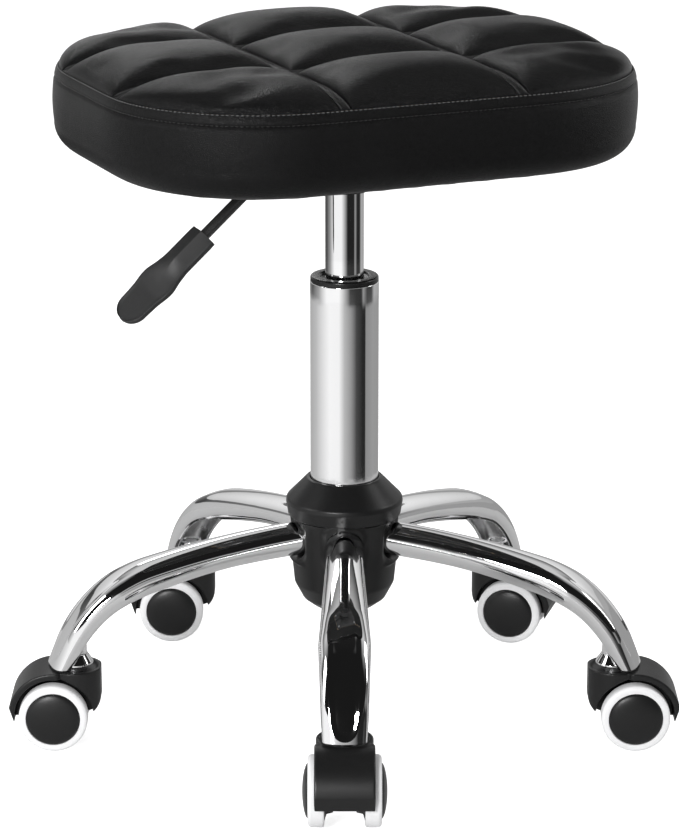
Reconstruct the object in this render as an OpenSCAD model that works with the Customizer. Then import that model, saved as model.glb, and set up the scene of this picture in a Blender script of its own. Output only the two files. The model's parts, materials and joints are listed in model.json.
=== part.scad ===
// Adjustable swivel stool on a five-legged caster base.
// Origin: the floor point on the column axis. +Z is up, +X runs to the right of the front leg.

/* [Seat] */
// Length of the seat along its long side
seat_length = 395; // [320:1:480]
// Depth of the seat along its short side
seat_depth = 315; // [260:1:380]
// Corner radius of the seat seen from above
seat_corner_r = 112; // [80:1:125]
// Height of the side band from the underside to the top seam
band_height = 60; // [48:1:80]
// Height of the crown above the top seam
crown_height = 22; // [10:1:30]
// Radius of the rounded lower edge of the band
lower_edge_r = 20; // [8:1:26]
// Thickness of the cover
cover_t = 1.2; // [0.8:0.1:2.5]
// Thickness of the plywood seat board
board_t = 12; // [9:0.5:18]
// Distance from the rounded lower edge in to the edge of the seat board
board_margin = 2; // [1.5:0.5:8]
// Turn of the seat about the column at rest, in degrees
seat_turn = 23.6; // [-180:0.1:180]

/* [Seat plate] */
// Side of the square steel seat plate
plate_side = 150; // [130:1:180]
// Thickness of the seat plate
plate_t = 2.5; // [2:0.1:4]
// Distance between plate bolts
bolt_spacing = 116; // [90:1:125]
// Diameter of the plate bolts
bolt_d = 6; // [5:0.5:8]
// Length of the tube that holds the top of the gas cylinder
socket_length = 29.5; // [25:0.5:45]

/* [Gas lift] */
// Diameter of the stand tube
stand_tube_d = 50; // [40:1:60]
// Length of stand tube that shows above the hub cap
stand_tube_exposed = 148; // [115:1:190]
// Wall of the stand tube
stand_tube_wall = 1.8; // [1.2:0.1:3]
// Diameter of the gas cylinder
gas_cylinder_d = 28; // [23:0.5:34]
// Wall of the gas cylinder
gas_cylinder_wall = 1.5; // [1:0.1:2.5]
// Diameter of the piston rod
rod_d = 10; // [8:0.5:12]
// Gap between the guide bush and the seat socket at rest
lift_at_rest = 63; // [50:1:90]
// Length of the gas cylinder
gas_cylinder_length = 242; // [210:1:290]
// Length of the guide bush inside the stand tube
guide_length = 54; // [40:1:70]

/* [Base] */
// Radius of the circle through the caster stems
stem_circle_r = 206; // [170:1:250]
// Width of a leg at the hub
leg_width_hub = 27; // [22:0.5:30]
// Width of a leg at its bend
leg_width_bend = 37; // [28:0.5:45]
// Width of a leg at its tip
leg_width_tip = 31; // [28:0.5:38]
// Depth of a leg at the hub
leg_depth_hub = 25; // [20:0.5:30]
// Depth of a leg at its tip
leg_depth_tip = 17; // [14:0.5:21]
// Wall of a leg
leg_wall = 2.2; // [1.2:0.1:3]
// Radius of the bend towards the caster
leg_bend_r = 98; // [80:1:120]
// Wall of the steel core that the legs are welded to
core_wall = 4; // [2.5:0.1:6]
// Wall of the hub body outside the core
hub_wall = 12; // [9:0.5:20]

/* [Casters] */
// Diameter of a caster wheel
wheel_d = 50; // [40:1:62]
// Width of a caster across its two hub caps
wheel_span = 59; // [55:0.5:72]
// Width of the hood over the wheels
hood_width = 42; // [38:0.5:50]
// Distance from the stem axis to the axle
caster_trail = 15; // [13:0.5:19]
// Diameter of a caster stem
stem_d = 11; // [8:0.5:13.5]
// Diameter of an axle
axle_d = 6; // [4:0.5:8]

/* [Lever] */
// Diameter of the lever rod
lever_rod_d = 8; // [6:0.5:9]
// Distance from the column axis to the bend in the rod
lever_bend_x = 57; // [45:1:90]
// Downward slope of the outer part of the lever, in degrees
lever_slope = 41; // [20:1:60]
// Length of the paddle
paddle_length = 84; // [60:1:110]
// Greatest width of the paddle
paddle_width = 30; // [22:1:40]
// Turn of the paddle about its rod, in degrees
paddle_twist = 35; // [0:1:60]

/* [Clearances] */
// Radial clearance of a turning or sliding fit
running_gap = 0.05; // [0.02:0.01:0.08]
// Gap between parts that turn past each other
side_gap = 0.5; // [0.3:0.1:1]
// Gap between a leg and its pocket in the hub
pocket_gap = 0.5; // [0.3:0.1:1]
// Radial gap between the wheels and the hood
hood_gap = 3.3; // [2:0.1:5]
// Gap between the foam and the cover
foam_gap = 0.3; // [0.2:0.1:0.6]

/* [Hidden] */

$fn = 64;
eps = 0.01;
// Size of the blocks that trim a leg, larger than what they cut away
cut_size = 100;

// Places of the five legs, in degrees from +X, and the way each caster trails at rest
places = ["front", "right", "back_right", "back_left", "left"];
leg_angles = [for (i = [0:4]) -90 + 72 * i];
trail_angles = [-90, 0, -16, 180, 180];

// Caster
wheel_r = wheel_d / 2;
tyre_t = 4;
tyre_w = 11.4;
cap_bulge = 4.1;
cap_r = wheel_r - tyre_t - 1.4;
tyre_outer_y = wheel_span / 2 - cap_bulge;
tyre_inner_y = tyre_outer_y - tyre_w;
web_half = stem_d / 2 + 2;
wheel_inner_y = web_half + side_gap;
well_r = wheel_r + hood_gap;
fender_wall = 4.7;
hood_r = well_r + fender_wall;
hood_top_z = wheel_r + hood_r;
housing_r = hood_width / 2 - 1;
housing_back_x = 18.5;
skirt_r = 10;
dish_r = housing_r - 2;
dish_depth = 2.5;
web_boss_r = 10;
axle_half = tyre_outer_y - 2;
axle_bore_end = axle_half + 0.3;
stem_collar_r = 8.5;
stem_collar_h = 4.4;
leg_seat_gap = 2;
tip_z = hood_top_z + leg_seat_gap;
stem_bore_z = hood_top_z - 24;
stem_foot_gap = 0.5;
socket_bore_r = stem_d / 2 + 0.5;
socket_r = socket_bore_r + 2.6;
socket_flare_r = socket_r + 2.6;
socket_flare_h = 6;
socket_h = 17;
socket_plate_t = 3;
socket_plate_reach = 12.3;
grip_ring_h = 4;
grip_groove_r = stem_d / 2 - 0.8;
grip_ring_z = tip_z + 8;
stem_top_z = tip_z + socket_h - 1;

tube_r = stand_tube_d / 2;
core_r = tube_r + core_wall;
hub_r = core_r + hub_wall;

// Leg crest line: a shallow arc from the hub, a tighter bend and a straight tip
tip_overhang = 18.5;
tip_slope = 68;
tip_run = 16;
tip_trim = 10;
bend_slope = 13;
hub_slope = 3;
shallow_steps = 6;
bend_steps = 10;
section_steps = 7;
leg_tip_r = stem_circle_r + tip_overhang;
bend_end = [leg_tip_r - tip_run * cos(tip_slope), tip_z + tip_run * sin(tip_slope)];
bend_centre = bend_end - leg_bend_r * [sin(tip_slope), cos(tip_slope)];
bend_start = bend_centre + leg_bend_r * [sin(bend_slope), cos(bend_slope)];
leg_inner_r = core_r - 2;
shallow_r = (bend_start[0] - leg_inner_r) / (sin(bend_slope) - sin(hub_slope));
shallow_centre = bend_start - shallow_r * [sin(bend_slope), cos(bend_slope)];
leg_hub_z = shallow_centre[1] + shallow_r * cos(hub_slope);

// Hub
cap_rim_z = leg_hub_z + 3.5;
cap_rim_h = 11;
cap_top_z = cap_rim_z + 28;
cap_wall = 2;
shell_bottom_z = leg_hub_z - 67;
shell_floor_t = 4;
shell_floor_hole_r = 12;
scoop_gap = 3.5;
scoop_r = hub_r - 6.5;
core_bottom_z = shell_bottom_z + 13;
core_top_z = cap_rim_z + 9;

// Gas lift
tube_bottom_z = shell_bottom_z + shell_floor_t;
tube_floor_t = 3;
tube_top_z = cap_top_z + stand_tube_exposed;
bush_flange_h = 4;
bush_top_z = tube_top_z + bush_flange_h;
cylinder_r = gas_cylinder_d / 2;
rod_r = rod_d / 2;
spigot_r = rod_r - 1;
race_t = 2;
ball_r = 2;
ball_count = 10;
ball_gap = 0.02;
ball_circle_r = 12;
race_side_gap = 4.2;
race_outer_r = tube_r - stand_tube_wall - race_side_gap;
race_z = tube_bottom_z + tube_floor_t;
ball_z = race_z + race_t + ball_r;
upper_race_z = ball_z + ball_r;
rod_shoulder_z = upper_race_z + race_t;
clip_t = 1.5;
clip_gap = 0.2;
clip_z = tube_bottom_z - clip_gap - clip_t;
clip_r = 8.5;
socket_bottom_z = bush_top_z + lift_at_rest;
cylinder_top_z = socket_bottom_z + 12;
cylinder_bottom_z = cylinder_top_z - gas_cylinder_length;
valve_body_h = 29;
seal_h = 14;
piston_h = 14;
piston_z = cylinder_bottom_z + 126;
piston_r = cylinder_r - gas_cylinder_wall - running_gap;
button_r = 3;
button_bore_depth = 15;
button_dome_r = 6;
button_tip_gap = 0.15;

// Seat plate and lever seat
plate_bottom_z = socket_bottom_z + socket_length;
board_z = plate_bottom_z + plate_t;
board_top_z = board_z + board_t;
underside_z = board_z - cover_t;
seam_z = underside_z + band_height;
crown_z = seam_z + crown_height;
socket_wall = 4;
plate_corner_r = 12;
pivot_x = 30;
bracket_t = 2.5;
bracket_half_w = 12;
bracket_drop = 17.5;
lever_r = lever_rod_d / 2;
lever_z = plate_bottom_z - 8.5;
lever_hole_r = lever_r + 0.35;
lever_slot_half_w = lever_r + 0.6;
lever_slot_drop = 6.5;
lever_slot_rise = 4.4;
lever_inner_x = 3;
lever_knee_r = lever_r + 0.3;
lever_outer_run = 90;
paddle_t = 5;
paddle_neck_w = 23;
paddle_neck_l = 34;
paddle_grip = 22;
paddle_sleeve_r = 6.5;
hem_w = lower_edge_r + 14;
board_inset = lower_edge_r + board_margin;
dust_t = 0.6;
dust_edge = lower_edge_r + 1;
dust_gap = 1;

// Corner profile of the upholstered block: how far in from the outer corner, and the height
edge_steps = 5;
seam_inset = 2;
crown_inset = 42;
band_bulge_z = 26;
t_nut_flange_r = 9;
t_nut_flange_t = 1.5;
t_nut_r = bolt_d / 2 + 1.4;
t_nut_recess_h = 9;
bolt_head_r = 5.5;
bolt_head_h = 4;
thread_gap = 0.05;

function sgn_pow(v, e) = sign(v) * pow(abs(v), e);

// Stations along a leg: [radius, height, slope, u], with u from 0 at the hub to 3 at the tip
function leg_stations() = concat(
  [for (i = [0:shallow_steps])
     let (h = hub_slope + (bend_slope - hub_slope) * i / shallow_steps)
     [shallow_centre[0] + shallow_r * sin(h), shallow_centre[1] + shallow_r * cos(h), h, i / shallow_steps]],
  [for (i = [1:bend_steps])
     let (h = bend_slope + (tip_slope - bend_slope) * i / bend_steps)
     [bend_centre[0] + leg_bend_r * sin(h), bend_centre[1] + leg_bend_r * cos(h), h, 1 + i / bend_steps]],
  [[bend_end[0] + (tip_run + tip_trim) * cos(tip_slope), bend_end[1] - (tip_run + tip_trim) * sin(tip_slope),
    tip_slope, 3]]);

function leg_width(u) = lookup(u, [[0, leg_width_hub], [0.6, leg_width_hub + 3], [1.35, leg_width_bend],
                                   [2, leg_width_tip + 2], [3, leg_width_tip]]);
function leg_depth(u) = lookup(u, [[0, leg_depth_hub], [1, leg_depth_hub - 3], [1.5, leg_depth_tip],
                                   [3, leg_depth_tip]]);
function leg_open(u) = lookup(u, [[0, 176.5], [0.5, 175], [1.2, 124], [3, 118]]);
function leg_square(u) = lookup(u, [[0, 1], [0.5, 1], [1.3, 0.74], [3, 0.74]]);

// Half of the section's points: [sideways, down from the crest]
function leg_section(u, inset, grow = 0) =
  let (half_w = leg_width(u) / 2 + grow,
       e = leg_square(u),
       open = leg_open(u),
       half_d = leg_depth(u) / (1 - sgn_pow(cos(open), e)))
  [for (k = [-section_steps:section_steps])
     let (a = open * k / section_steps)
     [(half_w - inset) * sgn_pow(sin(a), e), half_d - (half_d + grow - inset) * sgn_pow(cos(a), e)]];

function leg_ring(s) =
  let (outer = leg_section(s[3], 0),
       inner = leg_section(s[3], leg_wall),
       n = len(outer))
  [for (k = [0:2 * n - 1])
     let (p = k < n ? outer[k] : inner[2 * n - 1 - k])
     [s[0] - p[1] * sin(s[2]), p[0], s[1] - p[1] * cos(s[2])]];

module leg_channel() {
  stations = leg_stations();
  rings = [for (s = stations) leg_ring(s)];
  m = len(rings[0]);
  last = len(rings) - 1;
  n = m / 2;
  sides = [for (i = [0:last - 1], j = [0:m - 1], t = [0, 1])
    let (a = i * m + j, b = i * m + (j + 1) % m)
    t == 0 ? [a, b, b + m] : [a, b + m, a + m]];
  hub_end = [for (j = [0:n - 2], t = [0, 1])
    t == 0 ? [j, m - 1 - j, m - 2 - j] : [j, m - 2 - j, j + 1]];
  tip_end = [for (f = hub_end) [for (v = [2, 1, 0]) f[v] + last * m]];
  polyhedron(points = [for (r = rings) each r], faces = concat(sides, hub_end, tip_end));
}

module leg(angle) {
  color("silver")
  rotate([0, 0, angle])
  difference() {
    leg_channel();
    translate([stem_circle_r - cut_size, -cut_size / 2, tip_z - cut_size])
      cube([2 * cut_size, cut_size, cut_size]);
    translate([0, 0, leg_hub_z - cut_size / 2]) cylinder(r = core_r, h = cut_size);
  }
}

// Solid of a leg's outline near the hub, grown all round, from radius r0 to r1
module leg_root(grow, r0, r1) {
  translate([leg_inner_r, 0, leg_hub_z])
  rotate([0, 90 + hub_slope + 1, 0])
  translate([0, 0, r0 - leg_inner_r])
  linear_extrude(height = r1 - r0)
  polygon([for (p = leg_section(0, 0, grow)) [p[1], p[0]]]);
}

module leg_front() { leg(leg_angles[0]); }
module leg_right() { leg(leg_angles[1]); }
module leg_back_right() { leg(leg_angles[2]); }
module leg_back_left() { leg(leg_angles[3]); }
module leg_left() { leg(leg_angles[4]); }

module at_stems() {
  for (a = leg_angles) rotate([0, 0, a]) translate([stem_circle_r, 0, 0]) children();
}

// Steel core tube that the legs are welded to
module hub_core() {
  color("dimgray")
  translate([0, 0, core_bottom_z])
  difference() {
    cylinder(r = core_r, h = core_top_z - core_bottom_z);
    translate([0, 0, -1]) cylinder(r = tube_r, h = core_top_z - core_bottom_z + 2);
  }
}

// Moulded hub body with a pocket for each leg
module hub_shell() {
  color("#1c1c1c")
  difference() {
    rotate_extrude($fn = 96)
      polygon([[shell_floor_hole_r, shell_bottom_z], [22, shell_bottom_z], [30, shell_bottom_z + 6],
               [hub_r - 4.2, shell_bottom_z + 19], [hub_r - 2.5, shell_bottom_z + 34],
               [hub_r, cap_rim_z - side_gap], [core_r, cap_rim_z - side_gap],
               [core_r, core_bottom_z], [tube_r, core_bottom_z],
               [tube_r, tube_bottom_z], [shell_floor_hole_r, tube_bottom_z]]);
    for (a = leg_angles) rotate([0, 0, a]) {
      leg_root(pocket_gap, core_r - 4, hub_r + 20);
      leg_root(scoop_gap, scoop_r, hub_r + 20);
    }
  }
}

// Cone-shaped cap that clips over the hub body
module hub_cap() {
  color("#202020")
  rotate_extrude($fn = 96)
    polygon([[tube_r + 0.4, cap_top_z], [tube_r + 3, cap_top_z], [hub_r + 1.3, cap_rim_z + cap_rim_h + 1.5],
             [hub_r + 2, cap_rim_z + cap_rim_h - 0.5], [hub_r + 0.5, cap_rim_z],
             [hub_r + 0.5 - cap_wall, cap_rim_z], [hub_r + 2 - cap_wall, cap_rim_z + cap_rim_h - 1],
             [tube_r + 2, cap_top_z - cap_wall], [tube_r + 0.4, cap_top_z - cap_wall]]);
}

// Tube and closing plate welded into the tip of each leg, for the caster stem
module leg_sockets() {
  color("silver")
  at_stems() translate([0, 0, tip_z]) difference() {
    union() {
      cylinder(r = socket_r, h = socket_h);
      cylinder(r1 = socket_flare_r, r2 = socket_r, h = socket_flare_h);
      translate([0, -socket_flare_r, 0]) cube([socket_plate_reach, 2 * socket_flare_r, socket_plate_t]);
    }
    translate([0, 0, -1]) cylinder(r = socket_bore_r, h = socket_h + 2);
  }
}

// Steel stem of each caster, with a groove for its grip ring
module caster_stems() {
  color("silver")
  at_stems() rotate_extrude()
    polygon([[0, stem_bore_z + stem_foot_gap], [stem_d / 2, stem_bore_z + stem_foot_gap],
             [stem_d / 2, tip_z - stem_collar_h], [stem_collar_r, tip_z - stem_collar_h],
             [stem_collar_r, tip_z], [stem_d / 2, tip_z], [stem_d / 2, grip_ring_z],
             [grip_groove_r, grip_ring_z], [grip_groove_r, grip_ring_z + grip_ring_h],
             [stem_d / 2, grip_ring_z + grip_ring_h], [stem_d / 2, stem_top_z - 1],
             [stem_d / 2 - 1, stem_top_z], [0, stem_top_z]]);
}

// Split spring ring that grips the socket
module grip_rings() {
  color("gray")
  at_stems() translate([0, 0, grip_ring_z]) difference() {
    cylinder(r = socket_bore_r, h = grip_ring_h);
    translate([0, 0, -1]) cylinder(r = grip_groove_r, h = grip_ring_h + 2);
    translate([0, -0.75, -1]) cube([stem_d, 1.5, grip_ring_h + 2]);
  }
}

// Outer tube of the gas lift, pressed into the hub core
module stand_tube() {
  color("silver")
  rotate_extrude($fn = 96)
    polygon([[spigot_r + 1, tube_bottom_z], [tube_r, tube_bottom_z], [tube_r, tube_top_z],
             [tube_r - stand_tube_wall, tube_top_z], [tube_r - stand_tube_wall, race_z],
             [spigot_r + 1, race_z]]);
}

// Plastic bush that guides the gas cylinder in the stand tube
module guide_bush() {
  color("#151515")
  rotate_extrude($fn = 96)
    polygon([[cylinder_r + running_gap, tube_top_z - guide_length],
             [tube_r - stand_tube_wall, tube_top_z - guide_length],
             [tube_r - stand_tube_wall, tube_top_z], [tube_r, tube_top_z], [tube_r, bush_top_z - 1],
             [tube_r - 1, bush_top_z], [cylinder_r + running_gap + 1, bush_top_z],
             [cylinder_r + running_gap, bush_top_z - 1]]);
}

module bearing_race() {
  color("lightgray")
  translate([0, 0, race_z]) difference() {
    cylinder(r = race_outer_r, h = race_t);
    translate([0, 0, -1]) cylinder(r = spigot_r + 1, h = race_t + 2);
  }
}

// Balls, their cage and the upper washer of the thrust bearing
module thrust_bearing() {
  color("lightgray") {
    for (i = [0:ball_count - 1]) rotate([0, 0, 360 * i / ball_count])
      translate([ball_circle_r, 0, ball_z]) sphere(r = ball_r - ball_gap, $fn = 32);
    translate([0, 0, upper_race_z]) difference() {
      cylinder(r = race_outer_r, h = race_t);
      translate([0, 0, -1]) cylinder(r = spigot_r, h = race_t + 2);
    }
  }
}

// Piston rod with a thinner spigot that passes through the bearing
module piston_rod() {
  color("lightgray")
  rotate_extrude()
    polygon([[0, clip_z - 1], [spigot_r, clip_z - 1], [spigot_r, rod_shoulder_z], [rod_r, rod_shoulder_z],
             [rod_r, piston_z + piston_h + 2], [rod_r - 1, piston_z + piston_h + 3],
             [0, piston_z + piston_h + 3]]);
}

module piston() {
  color("#404040")
  translate([0, 0, piston_z]) difference() {
    cylinder(r = piston_r, h = piston_h);
    translate([0, 0, -1]) cylinder(r = rod_r, h = piston_h + 2);
  }
}

// Spring clip under the stand tube that holds the rod
module retaining_clip() {
  color("gray")
  translate([0, 0, clip_z]) difference() {
    cylinder(r = clip_r, h = clip_t);
    translate([0, 0, -1]) cylinder(r = spigot_r, h = clip_t + 2);
    translate([0, -2, -1]) cube([clip_r + 1, 4, clip_t + 2]);
  }
}

// Chrome gas cylinder with a closed valve end at the top
module gas_cylinder() {
  color("silver")
  rotate_extrude($fn = 96)
    polygon([[cylinder_r - gas_cylinder_wall, cylinder_bottom_z], [cylinder_r, cylinder_bottom_z],
             [cylinder_r, cylinder_top_z - 1], [cylinder_r - 1, cylinder_top_z],
             [button_r + running_gap, cylinder_top_z],
             [button_r + running_gap, cylinder_top_z - button_bore_depth],
             [0, cylinder_top_z - button_bore_depth], [0, cylinder_top_z - valve_body_h],
             [cylinder_r - gas_cylinder_wall, cylinder_top_z - valve_body_h]]);
}

module rod_seal() {
  color("#303030")
  translate([0, 0, cylinder_bottom_z]) difference() {
    cylinder(r = cylinder_r - gas_cylinder_wall, h = seal_h);
    translate([0, 0, -1]) cylinder(r = rod_r + running_gap, h = seal_h + 2);
  }
}

// Valve pin that the lever presses, with a domed top
module release_button() {
  button_top_z = lever_z - lever_r - button_tip_gap;
  button_foot_z = cylinder_top_z - button_bore_depth + 4;
  color("gray")
  intersection() {
    translate([0, 0, button_foot_z]) cylinder(r = button_r, h = button_top_z - button_foot_z);
    translate([0, 0, button_top_z - button_dome_r]) union() {
      sphere(r = button_dome_r);
      translate([0, 0, -40]) cylinder(r = button_dome_r, h = 40);
    }
  }
}

module rounded_plan(length, depth, r) {
  square([length - 2 * r, depth], center = true);
  square([length, depth - 2 * r], center = true);
  for (x = [-1, 1], y = [-1, 1])
    translate([x * (length / 2 - r), y * (depth / 2 - r)]) circle(r = r);
}

module at_bolts() {
  for (x = [-1, 1], y = [-1, 1]) translate([x * bolt_spacing / 2, y * bolt_spacing / 2, 0]) children();
}

// Steel plate with the cylinder socket and the lever bracket
module seat_plate() {
  bracket_z = plate_bottom_z - bracket_drop;
  color("#2b2b2b")
  rotate([0, 0, seat_turn]) difference() {
    union() {
      translate([0, 0, plate_bottom_z]) linear_extrude(height = plate_t)
        rounded_plan(plate_side, plate_side, plate_corner_r);
      translate([0, 0, socket_bottom_z]) cylinder(r = cylinder_r + socket_wall, h = socket_length + eps);
      translate([-pivot_x - bracket_t / 2, -bracket_half_w, bracket_z])
        cube([pivot_x - 8, 2 * bracket_half_w, bracket_drop + eps]);
    }
    translate([0, 0, socket_bottom_z - 1]) cylinder(r = cylinder_r, h = socket_length + 1);
    difference() {
      translate([-pivot_x + bracket_t / 2, -bracket_half_w + bracket_t, bracket_z - 1])
        cube([pivot_x, 2 * (bracket_half_w - bracket_t), bracket_drop + 1]);
      translate([0, 0, bracket_z - 2]) cylinder(r = cylinder_r + socket_wall, h = bracket_drop + 3);
    }
    translate([-pivot_x + bracket_t / 2, -lever_slot_half_w, lever_z - lever_slot_drop])
      cube([pivot_x, 2 * lever_slot_half_w, lever_slot_drop + lever_slot_rise]);
    translate([-pivot_x - bracket_t, 0, lever_z]) rotate([0, 90, 0])
      cylinder(r = lever_hole_r, h = 3 * bracket_t);
    at_bolts() translate([0, 0, plate_bottom_z - 1]) cylinder(r = bolt_d / 2 + 0.4, h = plate_t + 2);
  }
}

module plate_bolts() {
  color("gray")
  rotate([0, 0, seat_turn]) at_bolts() {
    translate([0, 0, plate_bottom_z - bolt_head_h]) cylinder(r = bolt_head_r, h = bolt_head_h, $fn = 6);
    translate([0, 0, plate_bottom_z - eps]) cylinder(r = bolt_d / 2, h = plate_t + board_t + 5);
  }
}

module t_nuts() {
  color("gray")
  rotate([0, 0, seat_turn]) at_bolts() difference() {
    union() {
      translate([0, 0, board_z + 2]) cylinder(r = t_nut_r, h = board_t - 2 + t_nut_flange_t);
      translate([0, 0, board_top_z]) cylinder(r = t_nut_flange_r, h = t_nut_flange_t);
    }
    translate([0, 0, board_z]) cylinder(r = bolt_d / 2 + thread_gap, h = board_t + 5);
  }
}

module seat_board() {
  color("burlywood")
  rotate([0, 0, seat_turn]) translate([0, 0, board_z]) difference() {
    linear_extrude(height = board_t)
      rounded_plan(seat_length - 2 * board_inset, seat_depth - 2 * board_inset, seat_corner_r - board_inset);
    at_bolts() translate([0, 0, -1]) cylinder(r = t_nut_r, h = board_t + 2);
  }
}

// Closed block of the upholstered seat: rounded lower edge, bulging band and a low crown
module seat_block(inset, bottom_z) {
  edge_r = lower_edge_r - inset;
  r = seat_corner_r;
  hull() for (x = [-1, 1], y = [-1, 1])
    translate([x * (seat_length / 2 - r), y * (seat_depth / 2 - r), 0])
      rotate_extrude($fn = 48) polygon(concat(
        [[0, bottom_z]],
        [for (i = [0:edge_steps]) let (a = 90 * i / edge_steps)
           [r - inset - edge_r + edge_r * sin(a) - (i == edge_steps ? 0 : 0.5),
            bottom_z + edge_r - edge_r * cos(a)]],
        [[r - inset - 0.6, seam_z - band_bulge_z + 14], [r - inset - seam_inset, seam_z],
         [r - inset - seam_inset - 14, seam_z + 0.55 * crown_height - inset],
         [r - crown_inset, crown_z - inset], [0, crown_z - inset]]));
}

module seat_foam() {
  color("khaki")
  rotate([0, 0, seat_turn]) difference() {
    seat_block(cover_t + foam_gap, board_z);
    translate([0, 0, board_z - 1]) linear_extrude(height = board_t + 1)
      rounded_plan(seat_length - 2 * board_inset + 2 * foam_gap, seat_depth - 2 * board_inset + 2 * foam_gap,
                   seat_corner_r - board_inset + foam_gap);
    at_bolts() translate([0, 0, board_top_z - 1])
      cylinder(r = t_nut_flange_r + 0.5, h = t_nut_recess_h + 1, $fn = 24);
  }
}

// Cover pulled over the foam, with its hem turned in under the board
module seat_cover() {
  color("#161616")
  rotate([0, 0, seat_turn]) difference() {
    seat_block(0, underside_z);
    seat_block(cover_t, board_z);
    translate([0, 0, underside_z - 1]) linear_extrude(height = cover_t + 2)
      rounded_plan(seat_length - 2 * hem_w, seat_depth - 2 * hem_w, seat_corner_r - hem_w);
  }
}

// Thin cloth stapled over the hem, cut out round the seat plate
module dust_cover() {
  color("#0c0c0c")
  rotate([0, 0, seat_turn]) translate([0, 0, underside_z - dust_t]) difference() {
    linear_extrude(height = dust_t)
      rounded_plan(seat_length - 2 * dust_edge, seat_depth - 2 * dust_edge, seat_corner_r - dust_edge);
    translate([0, 0, -1]) linear_extrude(height = dust_t + 2)
      square([plate_side + 2 * dust_gap, plate_side + 2 * dust_gap], center = true);
  }
}

// The rod bends once, lever_bend_x from the column axis
lever_neck_x = lever_outer_run - paddle_grip;

module lever_frame() {
  rotate([0, 0, seat_turn + 180]) children();
}

// Children lie along +X from the bend, down the lever's slope
module beyond_bend() {
  lever_frame() translate([lever_bend_x, 0, lever_z]) rotate([0, lever_slope, 0]) children();
}

module lever_rod() {
  color("#1a1a1a") {
    lever_frame() translate([-lever_inner_x, 0, lever_z]) rotate([0, 90, 0])
      cylinder(r = lever_r, h = lever_bend_x + lever_inner_x);
    beyond_bend() sphere(r = lever_knee_r);
    beyond_bend() rotate([0, 90, 0]) cylinder(r = lever_r, h = lever_outer_run);
  }
}

// Outline of the paddle: square neck, wide shoulder, rounded blade
module paddle_outline() {
  blade_r = paddle_width * 0.43;
  union() {
    translate([0, -paddle_neck_w / 2]) square([paddle_neck_l, paddle_neck_w]);
    polygon([[paddle_neck_l - 1, -paddle_neck_w / 2], [paddle_neck_l + 12, -paddle_width / 2],
             [paddle_length - blade_r, -blade_r], [paddle_length - blade_r, blade_r],
             [paddle_neck_l + 12, paddle_width / 2], [paddle_neck_l - 1, paddle_neck_w / 2]]);
    translate([paddle_length - blade_r, 0]) circle(r = blade_r);
  }
}

module lever_paddle() {
  color("#2a2a2a")
  beyond_bend() translate([lever_neck_x, 0, 0]) rotate([-paddle_twist, 0, 0]) difference() {
    union() {
      translate([0, 0, -paddle_t / 2]) linear_extrude(height = paddle_t) paddle_outline();
      rotate([0, 90, 0]) cylinder(r = paddle_sleeve_r, h = paddle_neck_l - 2);
      translate([paddle_neck_l - 2, 0, 0]) sphere(r = paddle_sleeve_r);
    }
    translate([-1, 0, 0]) rotate([0, 90, 0]) cylinder(r = lever_r, h = paddle_grip + 1);
  }
}

// Caster pieces stand at their own stem, with the wheels trailing along +X
module at_caster(i) {
  rotate([0, 0, leg_angles[i]]) translate([stem_circle_r, 0, 0])
    rotate([0, 0, trail_angles[i] - leg_angles[i]]) children();
}

module at_axle() {
  translate([caster_trail, 0, wheel_r]) rotate([-90, 0, 0]) children();
}

// Side outline of the hood: fender arc, flat top and rounded skirt
module hood_side() {
  tail_x = well_r + 1.6;
  difference() {
    union() {
      translate([caster_trail, wheel_r]) circle(r = hood_r, $fn = 96);
      translate([-housing_back_x, wheel_r + skirt_r])
        square([housing_back_x + caster_trail, hood_r - skirt_r]);
      translate([-housing_back_x + skirt_r, wheel_r])
        square([housing_back_x - skirt_r + caster_trail, hood_r]);
      translate([-housing_back_x + skirt_r, wheel_r + skirt_r]) circle(r = skirt_r);
    }
    translate([-2 * hood_r, -hood_r]) square([2 * hood_r + caster_trail, hood_r + wheel_r]);
    polygon([[caster_trail - 1, -hood_r], [caster_trail - 1, wheel_r], [caster_trail + 5, wheel_r - 7],
             [caster_trail + tail_x, wheel_r - 7], [caster_trail + hood_r + 2, wheel_r + 4],
             [caster_trail + 2 * hood_r, wheel_r + 4], [caster_trail + 2 * hood_r, -hood_r]]);
  }
}

module hood(i) {
  color("#1b1b1b")
  at_caster(i) difference() {
    union() {
      difference() {
        intersection() {
          translate([0, hood_width / 2, 0]) rotate([90, 0, 0])
            linear_extrude(height = hood_width) hood_side();
          linear_extrude(height = 2 * hood_top_z) union() {
            circle(r = housing_r, $fn = 96);
            translate([4, -hood_width / 2]) square([2 * hood_r, hood_width]);
          }
        }
        for (s = [-1, 1]) translate([caster_trail, s * (web_half + 25), wheel_r]) rotate([90, 0, 0])
          cylinder(r = well_r, h = 50, center = true);
      }
      translate([caster_trail, 0, wheel_r]) rotate([90, 0, 0])
        cylinder(r = web_boss_r, h = 2 * web_half, center = true);
    }
    translate([0, 0, hood_top_z - dish_depth]) cylinder(r = dish_r, h = dish_depth + 1);
    translate([0, 0, stem_bore_z]) cylinder(r = stem_d / 2 + running_gap, h = hood_top_z);
    translate([caster_trail, 0, wheel_r]) rotate([90, 0, 0])
      cylinder(r = axle_d / 2, h = hood_width, center = true);
  }
}

module axle(i) {
  color("silver")
  at_caster(i) at_axle() cylinder(r = axle_d / 2, h = 2 * axle_half, center = true);
}

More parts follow.
